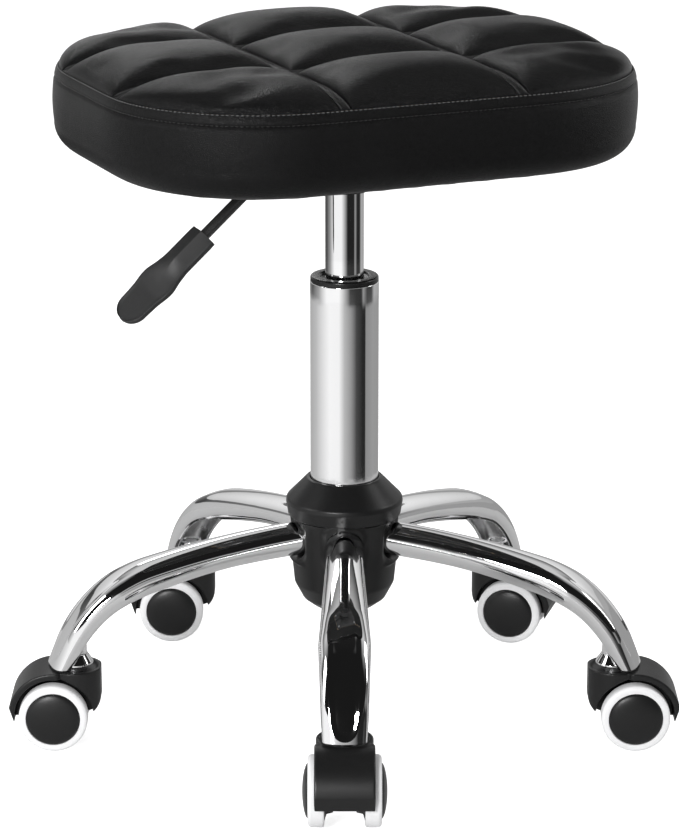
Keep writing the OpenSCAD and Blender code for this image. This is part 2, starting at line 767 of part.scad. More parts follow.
// Nylon wheel with its domed hub cap; side is 1 or -1
module wheel(i, side) {
  drum_r = wheel_r - tyre_t;
  dome_steps = 6;
  color("#202020")
  at_caster(i) at_axle() mirror([0, 0, side > 0 ? 0 : 1])
    rotate_extrude($fn = 96) polygon(concat(
      [[axle_d / 2 + running_gap, wheel_inner_y], [drum_r + 2.6, wheel_inner_y],
       [drum_r + 2.6, tyre_inner_y - 0.1], [drum_r, tyre_inner_y - 0.1],
       [drum_r, tyre_outer_y - 1], [cap_r + 0.2, tyre_outer_y - 1]],
      [for (k = [0:dome_steps]) let (a = 90 * k / dome_steps)
         [cap_r * cos(a), tyre_outer_y + cap_bulge * sin(a)]],
      [[0, axle_bore_end], [axle_d / 2 + running_gap, axle_bore_end]]));
}

// Soft tread ring round each wheel
module tyre(i, side) {
  edge_r = 2.5;
  steps = 4;
  color("gainsboro")
  at_caster(i) at_axle() mirror([0, 0, side > 0 ? 0 : 1])
    rotate_extrude($fn = 96) polygon(concat(
      [[wheel_r - tyre_t, tyre_inner_y]],
      [for (k = [0:steps]) let (a = 90 * k / steps)
         [wheel_r - edge_r / 2 + edge_r / 2 * sin(a), tyre_inner_y + edge_r / 2 - edge_r / 2 * cos(a)]],
      [for (k = [0:steps]) let (a = 90 * k / steps)
         [wheel_r - edge_r + edge_r * cos(a), tyre_outer_y - edge_r + edge_r * sin(a)]],
      [[wheel_r - tyre_t, tyre_outer_y]]));
}

hub_core();
hub_shell();
hub_cap();
leg_front();
leg_right();
leg_back_right();
leg_back_left();
leg_left();
leg_sockets();
caster_stems();
grip_rings();
stand_tube();
guide_bush();
bearing_race();
piston_rod();
piston();
thrust_bearing();
retaining_clip();
gas_cylinder();
rod_seal();
seat_plate();
plate_bolts();
t_nuts();
seat_board();
seat_foam();
seat_cover();
dust_cover();
release_button();
lever_rod();
lever_paddle();
for (i = [0:4]) {
  hood(i);
  axle(i);
  wheel(i, 1);
  wheel(i, -1);
  tyre(i, 1);
  tyre(i, -1);
}
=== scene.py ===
"""Adjustable swivel stool: the visible pieces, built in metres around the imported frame."""

import json
import math

import bmesh
import bpy
import numpy as np
from mathutils import Matrix, Vector


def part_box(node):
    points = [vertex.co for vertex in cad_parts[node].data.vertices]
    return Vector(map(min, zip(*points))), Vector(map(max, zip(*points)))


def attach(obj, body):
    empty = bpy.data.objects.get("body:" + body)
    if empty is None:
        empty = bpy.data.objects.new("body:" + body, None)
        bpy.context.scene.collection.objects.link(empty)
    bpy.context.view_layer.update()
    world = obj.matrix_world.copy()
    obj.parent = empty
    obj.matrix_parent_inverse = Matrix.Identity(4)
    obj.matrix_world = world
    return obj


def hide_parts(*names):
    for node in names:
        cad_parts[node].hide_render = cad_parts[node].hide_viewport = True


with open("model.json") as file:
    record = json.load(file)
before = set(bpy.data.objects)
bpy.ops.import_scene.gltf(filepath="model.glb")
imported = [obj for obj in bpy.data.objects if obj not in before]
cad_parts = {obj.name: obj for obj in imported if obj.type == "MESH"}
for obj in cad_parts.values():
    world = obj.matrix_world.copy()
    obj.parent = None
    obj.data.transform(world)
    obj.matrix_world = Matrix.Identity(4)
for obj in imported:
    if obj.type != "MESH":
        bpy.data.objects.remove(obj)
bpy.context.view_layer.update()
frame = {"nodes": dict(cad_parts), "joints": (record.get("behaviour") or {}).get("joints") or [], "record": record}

MM = 0.001
PLACES = ("front", "right", "back_right", "back_left", "left")
joints = {j["name"]: j for j in frame["joints"]}
slot_of = {s["node"]: s["material_slot"] for s in frame["record"]["subparts"]}


# ------------------------------------------------------------------ places taken from the frame
def turn_of_seat():
    """Turn of the seat about the column, from the direction of the lever's pivot."""
    x, y, _ = joints["lever_lift"]["axis"]
    return math.atan2(-x, y)


def turned_box(node, turn):
    """Lowest and highest corners of a CAD node, measured along axes turned about +Z."""
    back = Matrix.Rotation(-turn, 3, "Z")
    points = np.array([back @ v.co for v in frame["nodes"][node].data.vertices])
    return points.min(0), points.max(0)


def place_of_leg(place):
    """Angle of a leg and its distance from the column to the caster stem."""
    x, y, _ = joints["caster_swivel_" + place]["pos_m"]
    return math.atan2(y, x), math.hypot(x, y)


def place_of_caster(place):
    """Matrix that puts a caster drawn at the origin, trailing along +X, at its stem."""
    stem = joints["caster_swivel_" + place]["pos_m"]
    wheel = joints["wheel_spin_a_" + place]["pos_m"]
    trail = math.atan2(wheel[1] - stem[1], wheel[0] - stem[0])
    return Matrix.Translation((stem[0], stem[1], 0)) @ Matrix.Rotation(trail, 4, "Z")


SEAT_TURN = turn_of_seat()
SEAT_LOW, SEAT_HIGH = turned_box("seat_cover", SEAT_TURN)
SEAT_LENGTH, SEAT_DEPTH = SEAT_HIGH[0] - SEAT_LOW[0], SEAT_HIGH[1] - SEAT_LOW[1]
UNDERSIDE_Z = SEAT_LOW[2]
SEAM_Z = UNDERSIDE_Z + 60 * MM
SEAT_CORNER = 112 * MM
BOARD_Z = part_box("seat_board")[0].z
LEVER_Z = joints["lever_lift"]["pos_m"][2]
STEM_CIRCLE = place_of_leg("front")[1]
WHEEL_R = joints["wheel_spin_a_front"]["pos_m"][2]
TRAIL = math.dist(joints["wheel_spin_a_front"]["pos_m"][:2], joints["caster_swivel_front"]["pos_m"][:2])
TIP_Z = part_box("leg_front")[0].z
LEG_TOP_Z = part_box("leg_front")[1].z
SHELL_LOW, SHELL_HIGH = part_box("hub_shell")
CAP_LOW, CAP_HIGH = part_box("hub_cap")
TUBE_LOW, TUBE_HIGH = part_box("stand_tube")
BUSH_LOW, BUSH_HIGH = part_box("guide_bush")
CYLINDER_LOW, CYLINDER_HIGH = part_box("gas_cylinder")
SEAT_PLACE = Matrix.Rotation(SEAT_TURN, 4, "Z")


# ------------------------------------------------------------------ shape helpers
def make_piece(name, verts, faces, finishes, finish_of_face=None, crease=35, weld=1e-7):
    """A mesh object at the origin, with doubles merged and its faces turned outwards."""
    mesh = bpy.data.meshes.new(name)
    mesh.from_pydata([tuple(v) for v in verts], [], [tuple(int(i) for i in f) for f in faces])
    for finish in finishes:
        mesh.materials.append(finish)
    if finish_of_face is not None:
        mesh.polygons.foreach_set("material_index", np.asarray(finish_of_face, np.int32))
    tidy_mesh(mesh, crease, weld)
    piece = bpy.data.objects.new(name, mesh)
    bpy.context.scene.collection.objects.link(piece)
    return piece


def tidy_mesh(mesh, crease=35, weld=1e-7):
    """Merges doubles, turns the faces outwards and shades all but the sharp edges smoothly."""
    work = bmesh.new()
    work.from_mesh(mesh)
    bmesh.ops.remove_doubles(work, verts=work.verts, dist=weld)
    bmesh.ops.dissolve_degenerate(work, edges=work.edges, dist=1e-8)
    bmesh.ops.recalc_face_normals(work, faces=work.faces)
    work.to_mesh(mesh)
    work.free()
    mesh.polygons.foreach_set("use_smooth", [True] * len(mesh.polygons))
    mesh.set_sharp_from_angle(angle=math.radians(crease))
    mesh.update()


def loft(rings, ring_closed=True, path_closed=False, caps=()):
    """Quads between rings that have equally many points; caps names the ends to close."""
    rings = np.asarray(rings, float)
    n, m = rings.shape[:2]
    faces = []
    for i in range(n if path_closed else n - 1):
        k = (i + 1) % n
        for j in range(m if ring_closed else m - 1):
            s = (j + 1) % m
            faces.append((i * m + j, i * m + s, k * m + s, k * m + j))
    if "start" in caps:
        faces.append(tuple(range(m)))
    if "end" in caps:
        faces.append(tuple((n - 1) * m + j for j in range(m)))
    return rings.reshape(-1, 3), faces


HOLD_LENGTH = 5 * MM        # a stretch longer than this gets holding points
HOLD_GAP = 0.3 * MM         # how far a holding point lies from its corner


def held_profile(profile, closed):
    """Adds a point near each end of every long stretch, so that its shading stays straight."""
    profile = np.asarray(profile, float)
    ends = np.roll(profile, -1, axis=0)
    held = []
    for k, (a, b) in enumerate(zip(profile, ends)):
        held.append(a)
        if not closed and k == len(profile) - 1:
            break
        length = np.linalg.norm(b - a)
        if length > HOLD_LENGTH:
            held.extend([a + (b - a) * HOLD_GAP / length, b - (b - a) * HOLD_GAP / length])
    return np.array(held)


def lathe(profile, steps=128, closed=True):
    """A profile of (radius, height) points turned about +Z."""
    profile = held_profile(profile, closed)
    turn = np.linspace(0, 2 * math.pi, steps, endpoint=False)
    rings = [np.column_stack([profile[:, 0] * math.cos(a), profile[:, 0] * math.sin(a), profile[:, 1]])
             for a in turn]
    return loft(rings, ring_closed=closed, path_closed=True)


def filleted(corners, steps=6, closed=True):
    """An outline through (x, y, fillet radius) corners, each rounded by an arc."""
    corners = [np.array(c, float) for c in corners]
    outline = []
    for i, corner in enumerate(corners):
        p, radius = corner[:2], corner[2]
        at_end = not closed and i in (0, len(corners) - 1)
        if radius <= 0 or at_end:
            outline.append(p)
            continue
        a, b = corners[i - 1][:2] - p, corners[(i + 1) % len(corners)][:2] - p
        long_a, long_b = np.linalg.norm(a), np.linalg.norm(b)
        a, b = a / long_a, b / long_b
        half = math.acos(np.clip(a @ b, -1, 1)) / 2
        if half > 0.499 * math.pi:
            outline.append(p)
            continue
        reach = min(radius / math.tan(half), 0.49 * long_a, 0.49 * long_b)
        centre = p + (a + b) / np.linalg.norm(a + b) * reach / math.cos(half)
        arm_a, arm_b = p + a * reach - centre, p + b * reach - centre
        start = math.atan2(arm_a[1], arm_a[0])
        sweep = (math.atan2(arm_b[1], arm_b[0]) - start + math.pi) % (2 * math.pi) - math.pi
        size = np.linalg.norm(arm_a)
        for k in range(steps + 1):
            angle = start + sweep * k / steps
            outline.append(centre + size * np.array([math.cos(angle), math.sin(angle)]))
    return np.array(outline)


def smooth_step(low, high, value):
    """Rises smoothly from 0 at low to 1 at high."""
    t = np.clip((np.asarray(value, float) - low) / (high - low), 0, 1)
    return t * t * (3 - 2 * t)


def moved(piece, matrix):
    """The piece's place goes into its mesh; its object stays at the origin."""
    piece.data.transform(matrix)
    piece.data.update()
    return piece


def copy_piece(piece, name, matrix):
    """A piece with its own copy of the pattern's mesh, moved into place."""
    twin = bpy.data.objects.new(name, piece.data.copy())
    twin.data.name = name
    bpy.context.scene.collection.objects.link(twin)
    return moved(twin, matrix)


def final_mesh(piece):
    """Applies every modifier of a piece, so that it is a plain mesh."""
    evaluated = piece.evaluated_get(bpy.context.evaluated_depsgraph_get())
    mesh = bpy.data.meshes.new_from_object(evaluated)
    piece.modifiers.clear()
    piece.data = mesh
    mesh.name = piece.name
    return piece


def round_edges(piece, width, segments, sharpest):
    """Rounds every edge that is sharper than an angle in degrees."""
    edge = piece.modifiers.new("edge", "BEVEL")
    edge.width = width
    edge.segments = segments
    edge.limit_method = "ANGLE"
    edge.angle_limit = math.radians(sharpest)
    return final_mesh(piece)


def settle(piece, body, slot, *nodes):
    """Every finished piece rides on its body and stands for the CAD nodes it covers."""
    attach(piece, body)
    if nodes:
        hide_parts(*nodes)
    return piece


# ------------------------------------------------------------------ shader groups shared by the finishes
class Wiring:
    """Adds nodes to a tree, with inputs given by name as values or as sockets."""

    def __init__(self, tree):
        self.tree = tree

    def add(self, kind, inputs=None, **settings):
        """A new node of one kind, set up and wired."""
        node = self.tree.nodes.new(kind)
        for key, value in settings.items():
            setattr(node, key, value)
        for key, value in (inputs or {}).items():
            self.join(value, node.inputs[key])
        return node

    def join(self, value, socket):
        """Links a socket to an input, or sets the input to a value."""
        if isinstance(value, bpy.types.NodeSocket):
            self.tree.links.new(value, socket)
        else:
            socket.default_value = value

    def math(self, operation, a, b=0.0, clamp=False):
        """One arithmetic step on one or two values."""
        return self.add("ShaderNodeMath", {0: a, 1: b}, operation=operation, use_clamp=clamp).outputs[0]

    def mix(self, factor, a, b):
        """Blend of two colours; the mix node's colours are its inputs 6 and 7 and its output 2."""
        node = self.add("ShaderNodeMix", {0: factor, 6: a, 7: b}, data_type="RGBA")
        return node.outputs[2]

    def spread(self, value, low, high, to_low=0.0, to_high=1.0):
        """A value between low and high, spread over another range."""
        node = self.add("ShaderNodeMapRange", {0: value, 1: low, 2: high, 3: to_low, 4: to_high})
        return node.outputs[0]

    def noise(self, vector, scale, detail=3.0, rough=0.55):
        """Soft noise between 0 and 1."""
        inputs = {"Vector": vector, "Scale": scale, "Detail": detail, "Roughness": rough}
        return self.add("ShaderNodeTexNoise", inputs).outputs[0]


def shader_group(name, inputs, outputs):
    """An empty node group with named sockets, and its wiring, inlet and outlet."""
    tree = bpy.data.node_groups.new(name, "ShaderNodeTree")
    for socket, kind, value in inputs:
        item = tree.interface.new_socket(socket, in_out="INPUT", socket_type=kind)
        if value is not None:
            item.default_value = value
    for socket, kind in outputs:
        tree.interface.new_socket(socket, in_out="OUTPUT", socket_type=kind)
    wire = Wiring(tree)
    return tree, wire, wire.add("NodeGroupInput").outputs, wire.add("NodeGroupOutput").inputs


def pebble_grain_group():
    """Small rounded pebbles with creases between them, as on embossed leather, and a mask of the creases for
    painted shade.
    """
    tree, wire, given, out = shader_group(
        "pebble_grain",
        [("Vector", "NodeSocketVector", None), ("Pebble Size", "NodeSocketFloat", 0.0013),
         ("Unevenness", "NodeSocketFloat", 0.35)],
        [("Height", "NodeSocketFloat"), ("Crease", "NodeSocketFloat")])
    scale = wire.math("DIVIDE", 1.0, given["Pebble Size"])
    warp_scale = wire.math("MULTIPLY", scale, 0.35)
    warp = wire.add("ShaderNodeTexNoise", {"Vector": given["Vector"], "Scale": warp_scale, "Detail": 2.0})
    offset = wire.add("ShaderNodeVectorMath", {0: warp.outputs[1], 1: (0.5, 0.5, 0.5)}, operation="SUBTRACT")
    reach = wire.math("MULTIPLY", given["Pebble Size"], 1.6)
    pushed = wire.add("ShaderNodeVectorMath", {0: offset.outputs[0], "Scale": reach}, operation="SCALE")
    place = wire.add("ShaderNodeVectorMath", {0: given["Vector"], 1: pushed.outputs[0]})
    cells = wire.add("ShaderNodeTexVoronoi", {"Vector": place.outputs[0], "Scale": scale},
                     feature="DISTANCE_TO_EDGE")
    dome = wire.spread(cells.outputs["Distance"], 0.0, 0.38)
    broad = wire.noise(given["Vector"], wire.math("MULTIPLY", scale, 0.08), 3.0)
    lift = wire.math("MULTIPLY", broad, given["Unevenness"])
    wire.join(wire.math("ADD", wire.math("POWER", dome, 0.6), lift), out["Height"])
    # mask of the creases, for the shade painted into them
    wire.join(wire.spread(cells.outputs["Distance"], 0.0, 0.12, 1.0, 0.0), out["Crease"])
    return tree


def handling_wear_group():
    """Faint rubbed patches and scuffs that change roughness and tone over a surface."""
    tree, wire, given, out = shader_group(
        "handling_wear",
        [("Vector", "NodeSocketVector", None), ("Patch Size", "NodeSocketFloat", 0.05),
         ("Base Roughness", "NodeSocketFloat", 0.4), ("Variation", "NodeSocketFloat", 0.08),
         ("Pointiness", "NodeSocketFloat", 0.5)],
        [("Roughness", "NodeSocketFloat"), ("Rub", "NodeSocketFloat"), ("Edge", "NodeSocketFloat")])
    scale = wire.math("DIVIDE", 1.0, given["Patch Size"])
    patches = wire.noise(given["Vector"], scale, 4.0, 0.6)
    fine = wire.noise(given["Vector"], wire.math("MULTIPLY", scale, 24.0), 2.0)
    blend = wire.math("ADD", wire.math("MULTIPLY", patches, 0.75), wire.math("MULTIPLY", fine, 0.25))
    shift = wire.math("MULTIPLY", wire.math("SUBTRACT", blend, 0.5), given["Variation"])
    shift = wire.math("MULTIPLY", shift, 2.0)
    wire.join(wire.math("ADD", given["Base Roughness"], shift, clamp=True), out["Roughness"])
    wire.join(wire.spread(blend, 0.45, 0.75), out["Rub"])
    edge = wire.spread(given["Pointiness"], 0.52, 0.62)
    wire.join(wire.math("MULTIPLY", edge, wire.spread(fine, 0.35, 0.6), clamp=True), out["Edge"])
    return tree


def settled_dust_group():
    """A thin uneven film on faces that look up."""
    tree, wire, given, out = shader_group(
        "settled_dust",
        [("Vector", "NodeSocketVector", None), ("Normal", "NodeSocketVector", None),
         ("Amount", "NodeSocketFloat", 0.1)],
        [("Mask", "NodeSocketFloat")])
    up = wire.add("ShaderNodeSeparateXYZ", {0: given["Normal"]}).outputs[2]
    specks = wire.noise(given["Vector"], 900.0, 3.0, 0.7)
    clouds = wire.noise(given["Vector"], 24.0, 3.0)
    film = wire.math("MULTIPLY", wire.spread(up, 0.2, 0.95), wire.spread(specks, 0.42, 0.7))
    film = wire.math("MULTIPLY", film, wire.spread(clouds, 0.3, 0.7))
    wire.join(wire.math("MULTIPLY", film, given["Amount"], clamp=True), out["Mask"])
    return tree


GRAIN = pebble_grain_group()
WEAR = handling_wear_group()
DUST = settled_dust_group()


# ------------------------------------------------------------------ finishes
class Finish(Wiring):
    """A material under construction, with its Principled shader and object coordinates."""

    def __init__(self, name, **constants):
        self.material = bpy.data.materials.new(name)
        self.material.use_nodes = True
        super().__init__(self.material.node_tree)
        self.shader = next(n for n in self.tree.nodes if n.type == "BSDF_PRINCIPLED")
        for key, value in constants.items():
            self.shader.inputs[key.replace("_", " ")].default_value = value
        self.where = self.add("ShaderNodeTexCoord").outputs["Object"]

    def group(self, tree, inputs):
        """Outputs of one of the shared shader groups."""
        node = self.add("ShaderNodeGroup", node_tree=tree)
        for key, value in inputs.items():
            self.join(value, node.inputs[key])
        return node.outputs

    def wear(self, patch, rough, variation):
        """Roughness, rubbed patches and rubbed edges from handling."""
        point = self.add("ShaderNodeNewGeometry").outputs["Pointiness"]
        return self.group(WEAR, {"Vector": self.where, "Patch Size": patch, "Base Roughness": rough,
                                 "Variation": variation, "Pointiness": point})

    def dust(self, amount):
        """Where dust has settled."""
        normal = self.add("ShaderNodeNewGeometry").outputs["Normal"]
        return self.group(DUST, {"Vector": self.where, "Normal": normal, "Amount": amount})["Mask"]

    def bump(self, height, distance, strength=1.0):
        """Turns a height into relief of a depth given in metres."""
        node = self.add("ShaderNodeBump", {"Strength": strength, "Distance": distance, "Height": height})
        self.join(node.outputs[0], self.shader.inputs["Normal"])

    def set(self, **sockets):
        """Joins values to the shader's inputs."""
        for key, value in sockets.items():
            self.join(value, self.shader.inputs[key.replace("_", " ")])


def tint(value, blue=1.0):
    """A grey, with its blue a little stronger or weaker."""
    return (value, value, value * blue, 1.0)


def leather(name, pebble, grain_depth, rough, gathers):
    """Black synthetic leather: pebble grain with painted shade in its creases, gathers into the seam, and a
    painted highlight on the fold lines.
    """
    finish = Finish(name, IOR=1.48, Specular_IOR_Level=0.14)
    grain = finish.group(GRAIN, {"Vector": finish.where, "Pebble Size": pebble, "Unevenness": 0.5})
    worn = finish.wear(0.06, rough, 0.07)
    # painted shade: the creases between the pebbles are painted darker
    tone = finish.mix(grain["Crease"], tint(0.0058, 1.04), tint(0.0022))
    tone = finish.mix(finish.math("MULTIPLY", worn["Rub"], 0.35), tone, tint(0.010, 1.03))
    tone = finish.mix(finish.dust(0.03), tone, tint(0.06))
    height = finish.math("MULTIPLY", grain["Height"], grain_depth)
    if gathers > 0:
        seam = finish.add("ShaderNodeAttribute", attribute_name="seam_run").outputs["Vector"]
        stretched = finish.add("ShaderNodeMapping", {"Vector": seam, "Scale": (1.0, 0.16, 1.0)}).outputs[0]
        folds = finish.noise(stretched, 260.0, 2.0, 0.5)
        across = finish.add("ShaderNodeSeparateXYZ", {0: seam}).outputs
        away = across[1]
        # painted highlight: the fold lines beside the channels are painted paler, standing in for the sheen on
        # their ridges
        tone = finish.mix(finish.math("MULTIPLY", across[2], 0.7), tone, tint(0.075))
        near = finish.spread(away, 0.002, 0.034, 1.0, 0.0)
        fold_height = finish.math("MULTIPLY", finish.math("MULTIPLY", folds, near), gathers)
        height = finish.math("ADD", height, fold_height)
    finish.set(Base_Color=tone, Roughness=worn["Roughness"])
    finish.bump(height, 1.0)
    return finish.material


def chrome(name, rough, cloud):
    """Bright chrome plate with the faint haze and specks that it picks up."""
    finish = Finish(name, Metallic=1.0)
    worn = finish.wear(0.03, rough, cloud)
    haze = finish.mix(finish.math("MULTIPLY", worn["Rub"], 0.12), tint(0.93, 1.005), tint(0.80))
    tone = finish.mix(finish.dust(0.12), haze, tint(0.60))
    ripple = finish.noise(finish.where, 45.0, 2.0)
    finish.set(Base_Color=tone, Roughness=worn["Roughness"])
    finish.bump(ripple, 0.00012, 0.5)
    return finish.material


def raw_steel(name, value, rough):
    """Zinc-plated or bare steel with short rolling marks and a faint spangle."""
    finish = Finish(name, Metallic=1.0)
    worn = finish.wear(0.02, rough, 0.12)
    marks = finish.add("ShaderNodeMapping", {"Vector": finish.where, "Scale": (1.0, 1.0, 0.06)}).outputs[0]
    lines = finish.noise(marks, 2600.0, 3.0, 0.7)
    spangle = finish.add("ShaderNodeTexVoronoi", {"Vector": finish.where, "Scale": 420.0}).outputs["Color"]
    patch = finish.add("ShaderNodeSeparateColor", {0: spangle}).outputs[0]
    tone = finish.mix(finish.math("MULTIPLY", patch, 0.35), tint(value, 1.02), tint(value * 0.72, 1.04))
    tone = finish.mix(worn["Edge"], tone, tint(min(1.0, value * 1.25)))
    finish.set(Base_Color=tone, Roughness=worn["Roughness"])
    finish.bump(lines, 0.00005, 0.7)
    return finish.material


def moulded(name, value, rough, texture, edge=2.2, specular=0.45):
    """Moulded plastic with a fine spark-eroded texture, rubbed paler along its edges."""
    finish = Finish(name, IOR=1.5, Specular_IOR_Level=specular)
    worn = finish.wear(0.025, rough, 0.07)
    texture_height = finish.noise(finish.where, 2400.0, 3.0, 0.6)
    mottle = finish.noise(finish.where, 260.0, 2.0)
    tone = finish.mix(finish.math("MULTIPLY", mottle, 0.5), tint(value, 1.02), tint(value * 1.45, 1.02))
    tone = finish.mix(finish.math("MULTIPLY", worn["Edge"], 0.6), tone, tint(value * edge))
    tone = finish.mix(finish.dust(0.05), tone, tint(0.16))
    finish.set(Base_Color=tone, Roughness=worn["Roughness"])
    finish.bump(texture_height, texture, 0.8)
    return finish.material


def tread_finish():
    """Pale grey soft tread with darker scuffs and patches of rolled-in dust."""
    finish = Finish("tread_grey", Roughness=0.5)
    worn = finish.wear(0.012, 0.5, 0.1)
    scuffs = finish.noise(finish.where, 520.0, 4.0, 0.7)
    tone = finish.mix(finish.spread(scuffs, 0.55, 0.8, 0.0, 0.35), tint(0.90, 1.01), tint(0.74, 0.99))
    tone = finish.mix(finish.math("MULTIPLY", worn["Rub"], 0.18), tone, tint(0.66, 0.97))
    finish.set(Base_Color=tone, Roughness=worn["Roughness"])
    finish.bump(scuffs, 0.00006, 0.8)
    return finish.material


def powder_coat():
    """Satin black powder coat with orange peel, chipped pale at its edges."""
    finish = Finish("powder_coat")
    worn = finish.wear(0.02, 0.24, 0.06)
    peel = finish.noise(finish.where, 900.0, 2.0, 0.5)
    tone = finish.mix(finish.noise(finish.where, 60.0), tint(0.012), tint(0.021))
    tone = finish.mix(finish.math("MULTIPLY", worn["Edge"], 0.5), tone, tint(0.16))
    tone = finish.mix(finish.dust(0.06), tone, tint(0.15))
    finish.set(Base_Color=tone, Roughness=worn["Roughness"])
    finish.bump(peel, 0.00012, 0.6)
    return finish.material


def thread(name, value):
    """Twisted polyester sewing thread, with painted shade in the grooves between its plies."""
    finish = Finish(name, Sheen_Weight=0.2)
    slanted = finish.add("ShaderNodeMapping", {"Vector": finish.where, "Rotation": (0.5, 0.6, 0.8)})
    ply = finish.add("ShaderNodeTexWave", {"Vector": slanted.outputs[0], "Scale": 900.0,
                                           "Distortion": 1.5}).outputs["Fac"]
    worn = finish.wear(0.01, 0.5, 0.1)
    # painted shade: where the ply wave is low, in the grooves, the thread is painted darker
    finish.set(Base_Color=finish.mix(ply, tint(value * 0.6), tint(value)), Roughness=worn["Roughness"])
    finish.bump(ply, 0.00008)
    return finish.material


def dust_cloth_finish():
    """Thin black non-woven cloth: pressed fibres and rows of bonded dots."""
    finish = Finish("dust_cloth", Roughness=0.85)
    fibres = finish.add("ShaderNodeMapping", {"Vector": finish.where, "Scale": (1.0, 0.25, 1.0)}).outputs[0]
    felt = finish.noise(fibres, 1500.0, 4.0, 0.7)
    dots = finish.add("ShaderNodeTexVoronoi", {"Vector": finish.where, "Scale": 420.0, "Randomness": 0.15})
    pressed = finish.spread(dots.outputs["Distance"], 0.18, 0.3, 1.0, 0.0)
    tone = finish.mix(felt, tint(0.006), tint(0.02))
    tone = finish.mix(finish.math("MULTIPLY", pressed, 0.5), tone, tint(0.004))
    finish.set(Base_Color=tone, Roughness=finish.spread(felt, 0.2, 0.8, 0.75, 0.95))
    finish.bump(finish.math("SUBTRACT", felt, pressed), 0.0002, 0.8)
    return finish.material


def plywood_finish():
    """Raw plywood: long grain, and plies that show at the edge."""
    finish = Finish("raw_plywood")
    along = finish.add("ShaderNodeMapping", {"Vector": finish.where, "Rotation": (0, 0, SEAT_TURN),
                                             "Scale": (0.06, 1.0, 1.0)}).outputs[0]
    grain = finish.noise(along, 420.0, 5.0, 0.65)
    plies = finish.add("ShaderNodeTexWave", {"Vector": finish.where, "Scale": 110.0, "Distortion": 0.4},
                       bands_direction="Z").outputs["Fac"]
    tone = finish.mix(finish.spread(grain, 0.35, 0.7), (0.52, 0.36, 0.20, 1), (0.66, 0.50, 0.31, 1))
    tone = finish.mix(finish.math("MULTIPLY", plies, 0.3), tone, (0.40, 0.26, 0.14, 1))
    finish.set(Base_Color=tone, Roughness=finish.spread(grain, 0.2, 0.8, 0.55, 0.8))
    finish.bump(grain, 0.0003, 0.6)
    return finish.material


def foam_finish():
    """Open-cell foam."""
    finish = Finish("seat_foam_cells", Roughness=0.95)
    cells = finish.add("ShaderNodeTexVoronoi", {"Vector": finish.where, "Scale": 900.0}).outputs["Distance"]
    finish.set(Base_Color=finish.mix(cells, (0.60, 0.52, 0.30, 1), (0.82, 0.76, 0.55, 1)))
    finish.bump(cells, 0.0006)
    return finish.material


LEATHER = leather("cover_leather", 1.3 * MM, 0.19 * MM, 0.31, 0.14 * MM)
LEATHER_BAND = leather("band_leather", 1.3 * MM, 0.14 * MM, 0.38, 0.0)
CHROME = chrome("bright_chrome", 0.045, 0.03)
CHROME_INSIDE = chrome("dull_chrome", 0.30, 0.12)
ZINC = raw_steel("zinc_plate", 0.62, 0.32)
BARE_STEEL = raw_steel("bare_steel", 0.42, 0.42)
HUB_PLASTIC = moulded("hub_plastic", 0.007, 0.34, 0.05 * MM, 2.2, 0.36)
CASTER_PLASTIC = moulded("caster_plastic", 0.0085, 0.33, 0.05 * MM, 2.2, 0.38)
LEVER_PLASTIC = moulded("lever_plastic", 0.019, 0.46, 0.09 * MM, 2.6, 0.4)
BUSH_PLASTIC = moulded("bush_plastic", 0.006, 0.28, 0.03 * MM, 2.0, 0.4)
SEAL_RUBBER = moulded("seal_rubber", 0.022, 0.62, 0.08 * MM)
TREAD = tread_finish()
POWDER_COAT = powder_coat()
PALE_THREAD = thread("pale_thread", 0.17)
BLACK_THREAD = thread("black_thread", 0.012)
DUST_CLOTH = dust_cloth_finish()
PLYWOOD = plywood_finish()
FOAM = foam_finish()

FINISH_OF_SLOT = {
    "chrome": CHROME, "bare_steel": BARE_STEEL, "zinc_steel": ZINC, "painted_steel": POWDER_COAT,
    "hub_plastic": HUB_PLASTIC, "caster_plastic": CASTER_PLASTIC, "lever_plastic": LEVER_PLASTIC,
    "bush_plastic": BUSH_PLASTIC, "seal_rubber": SEAL_RUBBER, "tread": TREAD, "plywood": PLYWOOD,
    "foam": FOAM, "cover_leather": LEATHER, "dust_cloth": DUST_CLOTH,
}


def finish_cad_nodes():
    """Gives every carried-over CAD node the finish of its material slot."""
    for name, node in frame["nodes"].items():
        node.data.materials.clear()
        node.data.materials.append(FINISH_OF_SLOT[slot_of[name]])


